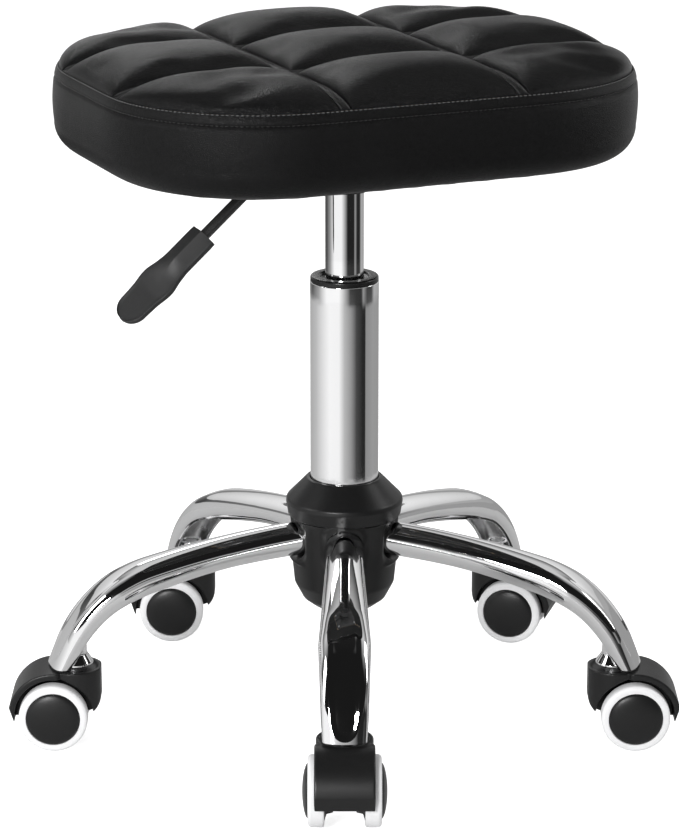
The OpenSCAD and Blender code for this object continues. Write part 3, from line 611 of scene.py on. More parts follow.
# ------------------------------------------------------------------ pieces repeated along a path
def path_repeater():
    """Geometry Nodes that set small oval beads, such as stitches, along a closed path."""
    tree = bpy.data.node_groups.new("beads_along_path", "GeometryNodeTree")
    for name, kind in (("Path", "Geometry"), ("Pitch", "Float"), ("Long", "Float"), ("Wide", "Float"),
                       ("High", "Float"), ("Tilt", "Float"), ("Seed", "Int"), ("Finish", "Material")):
        tree.interface.new_socket(name, in_out="INPUT", socket_type="NodeSocket" + kind)
    tree.interface.new_socket("Beads", in_out="OUTPUT", socket_type="NodeSocketGeometry")
    wire = Wiring(tree)
    given = wire.add("NodeGroupInput").outputs
    curve = wire.add("GeometryNodeMeshToCurve", {0: given["Path"]}).outputs[0]
    points = wire.add("GeometryNodeResampleCurve", {"Curve": curve, "Length": given["Pitch"]},
                      mode="LENGTH").outputs[0]
    ball = wire.add("GeometryNodeMeshUVSphere", {"Segments": 8, "Rings": 5, "Radius": 0.5}).outputs[0]
    size = wire.add("ShaderNodeCombineXYZ", {0: given["Long"], 1: given["Wide"], 2: given["High"]}).outputs[0]
    bead = wire.add("GeometryNodeTransform", {"Geometry": ball, "Scale": size}).outputs[0]
    tangent = wire.add("GeometryNodeInputTangent").outputs[0]
    aligned = wire.add("FunctionNodeAxesToRotation", {"Primary Axis": tangent, "Secondary Axis": (0, 0, 1)},
                       primary_axis="X", secondary_axis="Z").outputs[0]
    down = wire.math("MULTIPLY", given["Tilt"], -1.0)
    low = wire.add("ShaderNodeCombineXYZ", {0: down, 1: down, 2: down}).outputs[0]
    high = wire.add("ShaderNodeCombineXYZ", {0: given["Tilt"], 1: given["Tilt"], 2: given["Tilt"]}).outputs[0]
    random = wire.add("FunctionNodeRandomValue", data_type="FLOAT_VECTOR")
    wire.join(low, random.inputs[0])
    wire.join(high, random.inputs[1])
    wire.join(given["Seed"], random.inputs["Seed"])
    jitter = wire.add("FunctionNodeEulerToRotation", {0: random.outputs[0]}).outputs[0]
    turned = wire.add("FunctionNodeRotateRotation", {"Rotation": aligned, "Rotate By": jitter},
                      rotation_space="LOCAL").outputs[0]
    set_out = wire.add("GeometryNodeInstanceOnPoints",
                       {"Points": points, "Instance": bead, "Rotation": turned}).outputs[0]
    real = wire.add("GeometryNodeRealizeInstances", {0: set_out}).outputs[0]
    smooth = wire.add("GeometryNodeSetShadeSmooth", {"Geometry": real}).outputs[0]
    finished = wire.add("GeometryNodeSetMaterial", {"Geometry": smooth, "Material": given["Finish"]})
    wire.join(finished.outputs[0], wire.add("NodeGroupOutput").inputs[0])
    return tree


BEADS = path_repeater()


def beads_along(name, points, pitch, long, wide, high, tilt, seed, finish):
    """A plain mesh of beads along a closed path of points."""
    count = len(points)
    path = bpy.data.meshes.new(name)
    path.from_pydata([tuple(p) for p in points], [(i, (i + 1) % count) for i in range(count)], [])
    piece = bpy.data.objects.new(name, path)
    bpy.context.scene.collection.objects.link(piece)
    modifier = piece.modifiers.new("beads", "NODES")
    modifier.node_group = BEADS
    values = {"Pitch": pitch, "Long": long, "Wide": wide, "High": high, "Tilt": tilt, "Seed": seed,
              "Finish": finish}
    for item in BEADS.interface.items_tree:
        if item.in_out == "INPUT" and item.name in values:
            modifier[item.identifier] = values[item.name]
    bpy.context.view_layer.update()
    return final_mesh(piece)


# ------------------------------------------------------------------ seat
RIM_INSET = 4.5 * MM         # how far the top seam lies in from the widest edge of the band
RIM_HEIGHT = 7 * MM          # flat rim between the two rows of stitches
LOWER_EDGE_R = 20 * MM       # rounded edge between the band and the underside
HEM_INSET = 34 * MM          # the cover is turned under this far
CHANNEL_HALF = 4.5 * MM      # half width of the channels between the pillows
CHANNELS_X = (-SEAT_LENGTH / 6, SEAT_LENGTH / 6)
CHANNELS_Y = (-SEAT_DEPTH / 6, SEAT_DEPTH / 6)
CHANNEL_RISE = 7.5 * MM      # how much higher than the seam the channels cross
PILLOW_RISE = 14.5 * MM      # how much higher than the channels the pillows stand
SLACK_RISE = 0.82            # share of its full height at which the cloth starts to inflate
CLOTH_FRAMES = 20
TRAVEL_CAP = 9 * MM          # a point of the cloth may travel this far
CELL_STEPS = 56              # quads across a pillow
KEY_STEP = 0.02 * MM         # plan points nearer than this are the same point
SIM_STEPS = 18               # quads across a pillow while it is cloth
STRIP_STEPS = 22             # quads across a channel
EASE_LENGTH = 70 * MM        # the outline eases in and out of its corners over this length
FOLD_PLACE = 1.6 * MM        # fold lines lie this far inside the edges of a channel


def base_outline(count=4800):
    """Seat outline drawn with gently changing curvature: points, outward angles, run."""
    side_x, side_y = SEAT_LENGTH - 2 * SEAT_CORNER, SEAT_DEPTH - 2 * SEAT_CORNER
    bend = math.pi / 2 * SEAT_CORNER
    lengths = [side_y / 2, bend, side_x, bend, side_y, bend, side_x, bend, side_y / 2]
    turning = [0, 1, 0, 1, 0, 1, 0, 1, 0]
    whole = sum(lengths)
    step = whole / count
    s = (np.arange(count) + 0.5) * step
    section = np.searchsorted(np.cumsum(lengths), s)
    curvature = np.array(turning)[np.minimum(section, 8)] / SEAT_CORNER
    window = np.hanning(int(EASE_LENGTH / step))
    window /= window.sum()
    half = len(window) // 2
    curvature = np.convolve(np.concatenate([curvature[-half:], curvature, curvature[:half]]), window, "same")
    curvature = curvature[half:half + count]
    heading = math.pi / 2 + np.cumsum(curvature) * step - curvature * step / 2
    heading = math.pi / 2 + (heading - math.pi / 2) * 2 * math.pi / (curvature.sum() * step)
    points = np.cumsum(np.column_stack([np.cos(heading), np.sin(heading)]), axis=0) * step
    points -= (points.max(0) + points.min(0)) / 2
    points *= np.array([SEAT_LENGTH, SEAT_DEPTH]) / (points.max(0) - points.min(0))
    return points, heading - math.pi / 2


BASE_POINTS, BASE_ANGLES = base_outline()


def dense_outline(inset):
    """The outline moved in by an inset: points, outward angles and distances along it."""
    out = np.column_stack([np.cos(BASE_ANGLES), np.sin(BASE_ANGLES)])
    points = BASE_POINTS - out * inset
    points = np.vstack([points, points[:1]])
    angles = np.append(BASE_ANGLES, BASE_ANGLES[0] + 2 * math.pi)
    run = np.concatenate([[0], np.cumsum(np.linalg.norm(np.diff(points, axis=0), axis=1))])
    return points, angles, run


SEAM_POINTS, SEAM_ANGLES, SEAM_RUN = dense_outline(RIM_INSET)
SEAM_POLAR = np.arctan2(SEAM_POINTS[:-1, 1], SEAM_POINTS[:-1, 0])
POLAR_ORDER = np.argsort(SEAM_POLAR)
SEAM_REACH = np.hypot(SEAM_POINTS[:-1, 0], SEAM_POINTS[:-1, 1])
SEAM_LEAN = np.cos(SEAM_POLAR - SEAM_ANGLES[:-1])


def seam_at(run):
    """Points of the top seam at distances along it."""
    run = np.mod(run, SEAM_RUN[-1])
    return np.column_stack([np.interp(run, SEAM_RUN, SEAM_POINTS[:, k]) for k in (0, 1)])


def run_of(point):
    """Distance along the top seam of the point of it nearest to a given one."""
    return SEAM_RUN[np.argmin(np.linalg.norm(SEAM_POINTS - point, axis=1))]


def from_seam(x, y):
    """Distance in from the top seam to a point of the top."""
    polar = np.arctan2(y, x)
    known = SEAM_POLAR[POLAR_ORDER]
    reach = np.interp(polar, known, SEAM_REACH[POLAR_ORDER], period=2 * math.pi)
    lean = np.interp(polar, known, SEAM_LEAN[POLAR_ORDER], period=2 * math.pi)
    return (reach - np.hypot(x, y)) * lean


def seam_crossing(axis, value, side):
    """Point where the line x = value or y = value meets the top seam on one side."""
    gap = SEAM_POINTS[:, axis] - value
    right_side = SEAM_POINTS[:-1, 1 - axis] * side > 0
    k = np.nonzero((gap[:-1] * gap[1:] <= 0) & right_side)[0][0]
    share = gap[k] / (gap[k] - gap[k + 1])
    return SEAM_POINTS[k] + (SEAM_POINTS[k + 1] - SEAM_POINTS[k]) * share


def arch(t, power, root):
    """Rises from 0 at t = 0, upright at first, and is level from t = 1 on."""
    return (1 - (1 - np.clip(t, 0, 1)) ** power) ** root


def top_height(x, y):
    """Height of the quilted top above the seam: channels, fold lines and pillows."""
    inward = np.maximum(from_seam(x, y), 0)
    floor = CHANNEL_RISE * arch(inward / (48 * MM), 2, 0.85)
    pillow = arch(inward / (50 * MM), 2.8, 0.5)
    depth = np.full_like(x, -1.0)
    for value, lines, half_cell in ((x, CHANNELS_X, 46 * MM), (y, CHANNELS_Y, 40 * MM)):
        for line in lines:
            gap = np.abs(value - line) - CHANNEL_HALF
            pillow = pillow * arch(np.maximum(gap, 0) / half_cell, 3.0, 0.38)
            depth = np.maximum(depth, -gap)
    in_strip = depth > -1e-9
    fold = 1.3 * MM * np.exp(-((depth - FOLD_PLACE) / (0.6 * MM)) ** 2)
    groove = 1.4 * MM * np.exp(-((depth - 0.2 * MM) / (0.55 * MM)) ** 2)
    strip = np.where(in_strip, fold - groove, 0.0) * smooth_step(0, 3 * MM, inward)
    return floor + PILLOW_RISE * pillow + strip


def line_points(a, b, t):
    """Points on the straight line from a to b, at shares t of its length."""
    return a[None, :] * (1 - t[:, None]) + b[None, :] * t[:, None]


def cell_grid(i, j, u, v):
    """Plan points of one pillow, shape (len(v), len(u), 2); i and j count along x and y."""
    def limits(channels, k):
        """Lowest and highest place of the pillow along one axis, or None at the seam."""
        first, second = channels
        return [(None, first - CHANNEL_HALF), (first + CHANNEL_HALF, second - CHANNEL_HALF),
                (second + CHANNEL_HALF, None)][k]

    x_low, x_high = limits(CHANNELS_X, i)
    y_low, y_high = limits(CHANNELS_Y, j)

    def corner(x, y, side_x, side_y):
        """A corner of the pillow, on a channel's edge or on the seam."""
        if x is not None and y is not None:
            return np.array([x, y])
        if x is not None:
            return seam_crossing(0, x, side_y)
        if y is not None:
            return seam_crossing(1, y, side_x)
        near_x = seam_crossing(1, y_high if side_y < 0 else y_low, side_x)
        near_y = seam_crossing(0, x_high if side_x < 0 else x_low, side_y)
        return along_seam(near_x, near_y, np.array([0.5]))[0]

    def along_seam(a, b, t):
        """Points along the seam from a to b, the shorter way round."""
        start, end = run_of(a), run_of(b)
        whole = SEAM_RUN[-1]
        step = (end - start + whole / 2) % whole - whole / 2
        points = seam_at(start + step * t)
        points[t == 0], points[t == 1] = a, b
        return points

    c00, c10 = corner(x_low, y_low, -1, -1), corner(x_high, y_low, 1, -1)
    c01, c11 = corner(x_low, y_high, -1, 1), corner(x_high, y_high, 1, 1)
    low = along_seam(c00, c10, u) if y_low is None else line_points(c00, c10, u)
    high = along_seam(c01, c11, u) if y_high is None else line_points(c01, c11, u)
    left = along_seam(c00, c01, v) if x_low is None else line_points(c00, c01, v)
    right = along_seam(c10, c11, v) if x_high is None else line_points(c10, c11, v)
    uu, vv = u[None, :, None], v[:, None, None]
    return ((1 - vv) * low[None] + vv * high[None] + (1 - uu) * left[:, None] + uu * right[:, None]
            - (1 - uu) * (1 - vv) * c00 - uu * (1 - vv) * c10 - (1 - uu) * vv * c01 - uu * vv * c11)


def top_patches(steps, strip_steps, clustered):
    """All plan patches of the top: nine pillows, the strips between them and the crossings."""
    t = np.linspace(0, 1, steps + 1)
    if clustered:
        t = 0.5 - 0.5 * np.cos(math.pi * t)
        t[0], t[-1] = 0.0, 1.0
    w = np.linspace(0, 1, strip_steps + 1)
    cells = {(i, j): cell_grid(i, j, t, t) for i in range(3) for j in range(3)}
    patches = [("cell", key, grid) for key, grid in cells.items()]

    def between(a, b):
        """Grid of a strip that runs between two rows of points."""
        return a[:, None, :] * (1 - w[None, :, None]) + b[:, None, :] * w[None, :, None]

    for j in range(3):
        for i in range(2):
            patches.append(("strip", (i, j), between(cells[i, j][:, -1], cells[i + 1, j][:, 0])))
    for i in range(3):
        for j in range(2):
            patches.append(("strip", (i, j), between(cells[i, j][-1], cells[i, j + 1][0])))
    for i in range(2):
        for j in range(2):
            low = line_points(cells[i, j][-1, -1], cells[i + 1, j][-1, 0], w)
            high = line_points(cells[i, j + 1][0, -1], cells[i + 1, j + 1][0, 0], w)
            patches.append(("strip", (i, j), between(low, high)))
    return patches, t


def joined_grids(grids):
    """Vertices and quads of several grids of points, one after another."""
    verts, faces, start = [], [], 0
    for grid in grids:
        points, quads = loft(grid, ring_closed=False)
        verts.append(points)
        faces.extend([tuple(i + start for i in q) for q in quads])
        start += len(points)
    return np.concatenate(verts), faces


def inflate_top():
    """Blows up a coarse copy of the top as cloth, sewn down along the channels and the seam.
    Returns how far each pillow's grid points travel."""
    patches, _ = top_patches(SIM_STEPS, 2, clustered=False)
    heights = [SLACK_RISE * top_height(g[..., 0], g[..., 1]) for _, _, g in patches]
    verts, faces = joined_grids([np.dstack([g, h]) for (_, _, g), h in zip(patches, heights)])
    sheet = make_piece("cloth_top", verts, faces, [], weld=1e-6)
    start = np.array([v.co for v in sheet.data.vertices])
    sewn = sheet.vertex_groups.new(name="sewn")
    for vertex in sheet.data.vertices:
        x, y = np.array([vertex.co.x]), np.array([vertex.co.y])
        channel = min(min(abs(x[0] - c) for c in CHANNELS_X), min(abs(y[0] - c) for c in CHANNELS_Y))
        if channel < CHANNEL_HALF + 0.1 * MM or from_seam(x, y)[0] < 0.3 * MM:
            sewn.add([vertex.index], 1.0, "REPLACE")
    cloth = sheet.modifiers.new("cloth", "CLOTH")
    settings = cloth.settings
    settings.quality = 6
    settings.mass = 0.3
    settings.tension_stiffness = settings.compression_stiffness = 22
    settings.shear_stiffness = 8
    settings.bending_stiffness = 0.6
    settings.vertex_group_mass = "sewn"
    settings.use_pressure = True
    settings.uniform_pressure_force = 4.0
    settings.shrink_min = -0.02
    settings.effector_weights.gravity = 0.0
    cloth.collision_settings.use_collision = False
    scene = bpy.context.scene
    for step in range(1, CLOTH_FRAMES + 1):
        scene.frame_set(step)
    evaluated = sheet.evaluated_get(bpy.context.evaluated_depsgraph_get())
    end = np.array([v.co for v in evaluated.data.vertices])
    scene.frame_set(1)
    bpy.data.objects.remove(sheet)
    travel = end - start
    length = np.linalg.norm(travel, axis=1, keepdims=True)
    travel *= np.minimum(1, TRAVEL_CAP / np.maximum(length, 1e-9))
    found = {}
    key = {tuple(np.round(p[:2] / KEY_STEP).astype(int)): k for k, p in enumerate(start)}
    for kind, place, grid in patches:
        if kind != "cell":
            continue
        field = np.zeros(grid.shape[:2] + (3,))
        for a in range(grid.shape[0]):
            for b in range(grid.shape[1]):
                k = nearest_key(key, grid[a, b])
                if k is not None:
                    field[a, b] = travel[k]
        found[place] = field
    return found


def nearest_key(key, point):
    """Index of the vertex at a plan point, allowing for rounding."""
    x, y = np.round(point / KEY_STEP).astype(int)
    for dx in (0, -1, 1):
        for dy in (0, -1, 1):
            if (x + dx, y + dy) in key:
                return key[x + dx, y + dy]
    return None


def resample(field, t):
    """A grid of vectors read at other places of the same grid, through a smooth spline."""
    n = field.shape[0] - 1
    weights = np.zeros((len(t), n + 3))
    k = np.minimum((t * n).astype(int), n - 1)
    f = t * n - k
    rows = np.arange(len(t))
    spline = ((1 - f) ** 3, 3 * f ** 3 - 6 * f ** 2 + 4, -3 * f ** 3 + 3 * f ** 2 + 3 * f + 1, f ** 3)
    for shift, w in enumerate(spline):
        weights[rows, k + shift] += w / 6
    fine = np.empty((len(t), len(t), 3))
    for c in range(3):
        layer = np.vstack([2 * field[:1, :, c] - field[1:2, :, c], field[..., c],
                           2 * field[-1:, :, c] - field[-2:-1, :, c]])
        layer = np.hstack([2 * layer[:, :1] - layer[:, 1:2], layer, 2 * layer[:, -1:] - layer[:, -2:-1]])
        fine[..., c] = weights @ layer @ weights.T
    fine[0], fine[-1], fine[:, 0], fine[:, -1] = 0, 0, 0, 0
    return fine


def softened(field):
    """Travel with single-point jumps evened out, still zero along the seams."""
    for _ in range(2):
        inner = (field[1:-1, 1:-1] * 2 + field[:-2, 1:-1] + field[2:, 1:-1]
                 + field[1:-1, :-2] + field[1:-1, 2:]) / 6
        field = field.copy()
        field[1:-1, 1:-1] = inner
    return field


def seat_profile():
    """The side of the seat from the top seam down to the hem: (inset, height above the seam)."""
    height = SEAM_Z - UNDERSIDE_Z
    lap = [(RIM_INSET, -0.2 * MM), (RIM_INSET - 0.6 * MM, -1.1 * MM), (RIM_INSET - 1.4 * MM, -0.5 * MM)]
    rim = [(2.7 * MM, -1.2 * MM), (2.0 * MM, -2.8 * MM), (1.5 * MM, -4.6 * MM),
           (1.2 * MM, -RIM_HEIGHT + 0.9 * MM)]
    groove = [(1.5 * MM, -RIM_HEIGHT), (2.1 * MM, -RIM_HEIGHT - 0.4 * MM), (1.3 * MM, -RIM_HEIGHT - 1.1 * MM)]
    band = [(0.9 * MM, -RIM_HEIGHT - 2.2 * MM)]
    for t in np.linspace(0.08, 1, 12):
        depth = RIM_HEIGHT + t * (height - LOWER_EDGE_R - RIM_HEIGHT)
        bulge = 1.4 * MM * math.sin(math.pi * min(1, t * 0.95))
        band.append((0.8 * MM - bulge * 0.9, -depth))
    edge = []
    for a in np.radians(np.linspace(6, 90, 14)):
        edge.append((LOWER_EDGE_R * (1 - math.cos(a)) + 0.5 * MM * math.cos(a),
                     -height + LOWER_EDGE_R * (1 - math.sin(a))))
    under = [(x * MM, -height) for x in (22, 26, 30)] + [(HEM_INSET, -height), (HEM_INSET, -height + 3 * MM)]
    return np.array(lap + rim + groove + band + edge + under)


def wander(run, seed, size, waves):
    """A slow periodic drift along the outline, for hand-pulled upholstery."""
    rng = np.random.default_rng(seed)
    whole = SEAM_RUN[-1]
    total = np.zeros_like(run)
    for n in range(2, waves):
        total += rng.normal() / n * np.sin(2 * math.pi * n * run / whole + rng.uniform(0, 6.28))
    return size * total


def seat_side(count=620):
    """Rings of the side and the hem, following the outline."""
    run = np.linspace(0, SEAM_RUN[-1], count, endpoint=False)
    points = seam_at(run)
    angles = np.interp(run, SEAM_RUN, SEAM_ANGLES)
    out = np.column_stack([np.cos(angles), np.sin(angles)])
    profile = seat_profile()
    rings = []
    for inset, height in profile:
        share = smooth_step(RIM_HEIGHT + 4 * MM, 34 * MM, -height)
        share *= 1 - smooth_step(56 * MM, 60 * MM, -height)
        puff = share * (wander(run, 11, 0.45 * MM, 9) + wander(run + height * 2, 12, 0.16 * MM, 40))
        plan = points + out * (RIM_INSET - inset + puff)[:, None]
        rings.append(np.column_stack([plan, np.full(count, SEAM_Z + height)]))
    return rings


def seat_upholstery():
    """The whole padded cover: quilted top, rim, band, rounded lower edge and hem, closed below."""
    patches, t = top_patches(CELL_STEPS, STRIP_STEPS, clustered=True)
    travel = inflate_top()
    grids = []
    for kind, place, grid in patches:
        x, y = grid[..., 0], grid[..., 1]
        height = top_height(x, y)
        points = np.dstack([x, y, SEAM_Z + height])
        if kind == "cell" and place in travel:
            base = np.dstack([x, y, SEAM_Z + SLACK_RISE * height])
            points = base + resample(softened(travel[place]), t)
        grids.append(points)
    verts, faces = joined_grids(grids)
    top_faces = len(faces)
    side, quads = loft(seat_side(), caps=("end",))
    faces.extend([tuple(i + len(verts) for i in q) for q in quads])
    verts = np.concatenate([verts, side])
    finish_of_face = [0] * top_faces + [1] * (len(faces) - top_faces)
    cover = make_piece("seat_upholstery", verts, faces, [LEATHER, LEATHER_BAND], finish_of_face,
                       crease=60, weld=2e-6)
    add_seam_run(cover)
    moved(cover, SEAT_PLACE)
    return cover


def add_seam_run(cover):
    """Attribute with the distance along the seam, the distance in from it and a mask of the fold lines, where the
    leather paints a highlight.
    """
    co = np.zeros(len(cover.data.vertices) * 3)
    cover.data.vertices.foreach_get("co", co)
    co = co.reshape(-1, 3)
    inward = np.maximum(from_seam(co[:, 0], co[:, 1]), 0)
    polar = np.arctan2(co[:, 1], co[:, 0])
    run = np.interp(polar, SEAM_POLAR[POLAR_ORDER], SEAM_RUN[:-1][POLAR_ORDER])
    depth = np.max([CHANNEL_HALF - np.abs(value - line) for value, lines in
                    ((co[:, 0], CHANNELS_X), (co[:, 1], CHANNELS_Y)) for line in lines], axis=0)
    # fold-line mask: the leather paints a highlight along these lines, standing in for the sheen on their ridges
    fold = np.exp(-((depth - FOLD_PLACE) / (0.7 * MM)) ** 2) * (co[:, 2] > SEAM_Z + 1 * MM)
    attribute = cover.data.attributes.new("seam_run", "FLOAT_VECTOR", "POINT")
    attribute.data.foreach_set("vector", np.column_stack([run, inward, fold]).ravel())


def seam_path(inset, height, count=900):
    """Closed path round the seat at one inset and height, in the frame."""
    run = np.linspace(0, SEAM_RUN[-1], count, endpoint=False)
    angles = np.interp(run, SEAM_RUN, SEAM_ANGLES)
    plan = seam_at(run) + np.column_stack([np.cos(angles), np.sin(angles)]) * (RIM_INSET - inset)
    turn = SEAT_PLACE.to_3x3()
    return [turn @ Vector((x, y, SEAM_Z + height)) for x, y in plan]


def make_seat():
    """The padded cover and the two rows of stitches round it."""
    cover = seat_upholstery()
    settle(cover, "seat", "cover_leather", "seat_cover", "seat_foam")
    rows = (("top_seam_stitches", 3.6 * MM, -0.35 * MM, PALE_THREAD, 21),
            ("rim_seam_stitches", 1.6 * MM, -RIM_HEIGHT - 0.2 * MM, BLACK_THREAD, 22))
    for name, inset, height, finish, seed in rows:
        row = beads_along(name, seam_path(inset, height), 3.4 * MM, 2.4 * MM, 0.75 * MM, 0.75 * MM, 0.12,
                          seed, finish)
        settle(row, "seat", "cover_leather")


# ------------------------------------------------------------------ underside of the seat
CLOTH_INSET = 21 * MM        # edge of the dust cloth, in from the seat's
CLOTH_T = 0.5 * MM           # its thickness


def rounded_square(side, radius, count):
    """Points of a rounded square, evenly spaced by angle about its centre."""
    corners = [(x * side / 2, y * side / 2, radius) for x, y in ((1, -1), (1, 1), (-1, 1), (-1, -1))]
    outline = filleted(corners, 8)
    outline = np.vstack([outline, outline[:1]])
    angle = np.unwrap(np.arctan2(outline[:, 1], outline[:, 0]))
    wanted = np.linspace(angle[0], angle[0] + 2 * math.pi, count, endpoint=False)
    return np.column_stack([np.interp(wanted, angle, outline[:, k]) for k in (0, 1)]), wanted


def make_dust_cover():
    """Thin cloth under the seat, puckered near its edge, cut out round the seat plate."""
    plate_low, plate_high = turned_box("seat_plate", SEAT_TURN)
    hole, angles = rounded_square(plate_high[0] - plate_low[0] + 2 * MM, 6 * MM, 420)
    edge_points, _, _ = dense_outline(CLOTH_INSET)
    edge_angle = np.arctan2(edge_points[:-1, 1], edge_points[:-1, 0])
    order = np.argsort(edge_angle)
    wrapped = (angles + math.pi) % (2 * math.pi) - math.pi
    edge = np.column_stack([np.interp(wrapped, edge_angle[order], edge_points[:-1][order][:, k],
                                      period=2 * math.pi) for k in (0, 1)])
    top_z = UNDERSIDE_Z - 0.05 * MM
    rings = []
    for t in np.linspace(0, 1, 26):
        plan = edge * (1 - t) + hole * t
        sag = 0.9 * MM * math.sin(math.pi * t) * (1 + 0.5 * np.sin(7 * angles + 5 * t))
        puckers = 0.25 * MM * np.sin(34 * angles) * math.exp(-t * 9)
        rings.append(np.column_stack([plan, top_z - CLOTH_T - np.maximum(sag + puckers, 0)]))
    verts, faces = loft(rings)
    cloth = make_piece("dust_cover_cloth", verts, faces, [DUST_CLOTH], crease=80)
    thick = cloth.modifiers.new("thickness", "SOLIDIFY")
    thick.thickness = CLOTH_T
    thick.offset = 0
    moved(cloth, SEAT_PLACE)
    final_mesh(cloth)
    settle(cloth, "seat", "dust_cloth", "dust_cover")
    return cloth, polygon_area(edge) - polygon_area(hole)


def polygon_area(points):
    """Area inside a closed outline."""
    x, y = points[:, 0], points[:, 1]
    return abs(np.sum(x * np.roll(y, -1) - y * np.roll(x, -1))) / 2


def make_underside():
    """Dust cloth with its staples, and the weld round the cylinder socket."""
    cloth, cloth_area = make_dust_cover()
    staple_path = seam_path(CLOTH_INSET + 5 * MM, UNDERSIDE_Z - SEAM_Z - CLOTH_T - 0.35 * MM)
    staples = beads_along("dust_cover_staples", staple_path, 26 * MM, 10 * MM, 1.1 * MM, 0.7 * MM, 0.10,
                          31, ZINC)
    settle(staples, "seat", "zinc_steel")
    socket_r = CYLINDER_HIGH.x + 4 * MM
    plate_z = BOARD_Z - 2.5 * MM
    weld_r, weld_z = socket_r + 0.4 * MM, plate_z - 0.4 * MM
    circle = [(weld_r * math.cos(a), weld_r * math.sin(a), weld_z)
              for a in np.linspace(0, 2 * math.pi, 160, endpoint=False)]
    weld = beads_along("socket_weld", circle, 1.7 * MM, 3.0 * MM, 4.2 * MM, 3.4 * MM, 0.22, 41, POWDER_COAT)
    settle(weld, "seat", "painted_steel")


# ------------------------------------------------------------------ column
def make_column():
    """Chrome stand tube, bush in its mouth, and gas cylinder."""
    tube_r, top = TUBE_HIGH.x, TUBE_HIGH.z
    bore = tube_r - 1.8 * MM
    tube = filleted([(bore, TUBE_LOW.z, 0), (tube_r, TUBE_LOW.z, 1 * MM), (tube_r, top, 0.7 * MM),
                     (bore, top, 0.4 * MM)])
    settle(make_piece("stand_tube_chrome", *lathe(tube, 192), [CHROME]), "base", "chrome", "stand_tube")

    rod_r = CYLINDER_HIGH.x
    inner = rod_r + 0.05 * MM
    bush_top = BUSH_HIGH.z
    flange_r = tube_r - 0.2 * MM
    bush = filleted([(inner, BUSH_LOW.z, 0), (bore, BUSH_LOW.z, 0), (bore, top, 0), (flange_r, top, 0),
                     (flange_r, bush_top, 1.6 * MM), (rod_r + 4.2 * MM, bush_top, 1.2 * MM),
                     (rod_r + 3.0 * MM, bush_top - 1.6 * MM, 0.6 * MM),
                     (inner, bush_top - 1.9 * MM, 0.4 * MM)])
    ring = make_piece("guide_bush_ring", *lathe(bush, 160), [BUSH_PLASTIC])
    settle(ring, "base", "bush_plastic", "guide_bush")

    wall = rod_r - 1.5 * MM
    button_r = 3.05 * MM
    cylinder_top = CYLINDER_HIGH.z
    well_floor, head_floor = cylinder_top - 15 * MM, cylinder_top - 29 * MM
    cylinder = filleted([(wall, CYLINDER_LOW.z, 0), (rod_r, CYLINDER_LOW.z, 1 * MM),
                         (rod_r, cylinder_top, 1.2 * MM), (button_r, cylinder_top, 0.5 * MM),
                         (button_r, well_floor, 0), (0, well_floor, 0), (0, head_floor, 0),
                         (wall, head_floor, 0)])
    piece = make_piece("gas_cylinder_chrome", *lathe(cylinder, 160), [CHROME])
    settle(piece, "seat", "chrome", "gas_cylinder")


# ------------------------------------------------------------------ hub
LEG_ANGLES = [place_of_leg(p)[0] for p in PLACES]
CORE_R = TUBE_HIGH.x + 4 * MM    # steel core inside the moulded hub
HUB_R = CORE_R + 12 * MM         # widest part of the moulded hub
OPENING_HALF_W = 14.1 * MM       # opening that a leg goes in by, half its width and height
OPENING_HALF_H = 13.1 * MM
OPENING_POWER = 2.4              # 2 is an ellipse, and more is squarer
SCOOP_HALF = 17.5 * MM           # flat pressed round an opening


def hub_side():
    """Side of the moulded hub from its foot to its rim, with points close enough to press."""
    low = SHELL_LOW.z
    foot_hole_r, bore = 12 * MM, CORE_R + 0.3 * MM
    side = filleted([(foot_hole_r, low, 0.5 * MM), (22.5 * MM, low, 4 * MM),
                     (HUB_R - 10.5 * MM, low + 6 * MM, 5 * MM), (HUB_R - 4.2 * MM, low + 18 * MM, 7 * MM),
                     (HUB_R - 2.6 * MM, low + 34 * MM, 8 * MM), (HUB_R - 0.2 * MM, SHELL_HIGH.z, 0.6 * MM),
                     (bore, SHELL_HIGH.z, 0)], 8, closed=False)
    dense = []
    for a, b in zip(side[:-1], side[1:]):
        parts = max(1, int(np.linalg.norm(b - a) / (0.9 * MM)))
        dense.extend(a + (b - a) * k / parts for k in range(parts))
    dense.append(side[-1])
    inside = [np.array([bore, low + 13 * MM]), np.array([foot_hole_r, low + 4 * MM])]
    return np.array(dense + inside)


def pressed_radius(verts, radius):
    """Radius of the hub's points once the openings for the legs and their lips are pressed in."""
    angle = np.arctan2(verts[:, 1], verts[:, 0])
    outer = radius > CORE_R + 1 * MM
    middle = LEG_TOP_Z - 14.2 * MM
    lip_z = middle - 15.4 * MM
    pressed = radius.copy()
    for leg_angle in LEG_ANGLES:
        off = (angle - leg_angle + math.pi) % (2 * math.pi) - math.pi
        side_way = np.sin(off) * radius
        facing = np.cos(off) > 0.4
        up = verts[:, 2] - middle
        scoop = ((np.abs(side_way) / SCOOP_HALF) ** 4 + (np.abs(up - 2 * MM) / SCOOP_HALF) ** 4) ** 0.25
        cut = (1 - smooth_step(0.80, 1.06, scoop)) * facing * outer
        pressed -= cut * np.clip(pressed - (HUB_R - 3.8 * MM), 0, None)
        hole = ((np.abs(side_way) / OPENING_HALF_W) ** OPENING_POWER
                + (np.abs(up) / OPENING_HALF_H) ** OPENING_POWER) ** (1 / OPENING_POWER)
        sink = (1 - smooth_step(0.97, 1.03, hole)) * facing * outer
        pressed = pressed * (1 - sink) + (CORE_R + 1.2 * MM) * sink
        lip = np.exp(-((verts[:, 2] - lip_z) / (1.5 * MM)) ** 2)
        lip = lip * (1 - smooth_step(8 * MM, 17 * MM, np.abs(side_way))) * facing * outer
        pressed += lip * 2.2 * MM
    return pressed


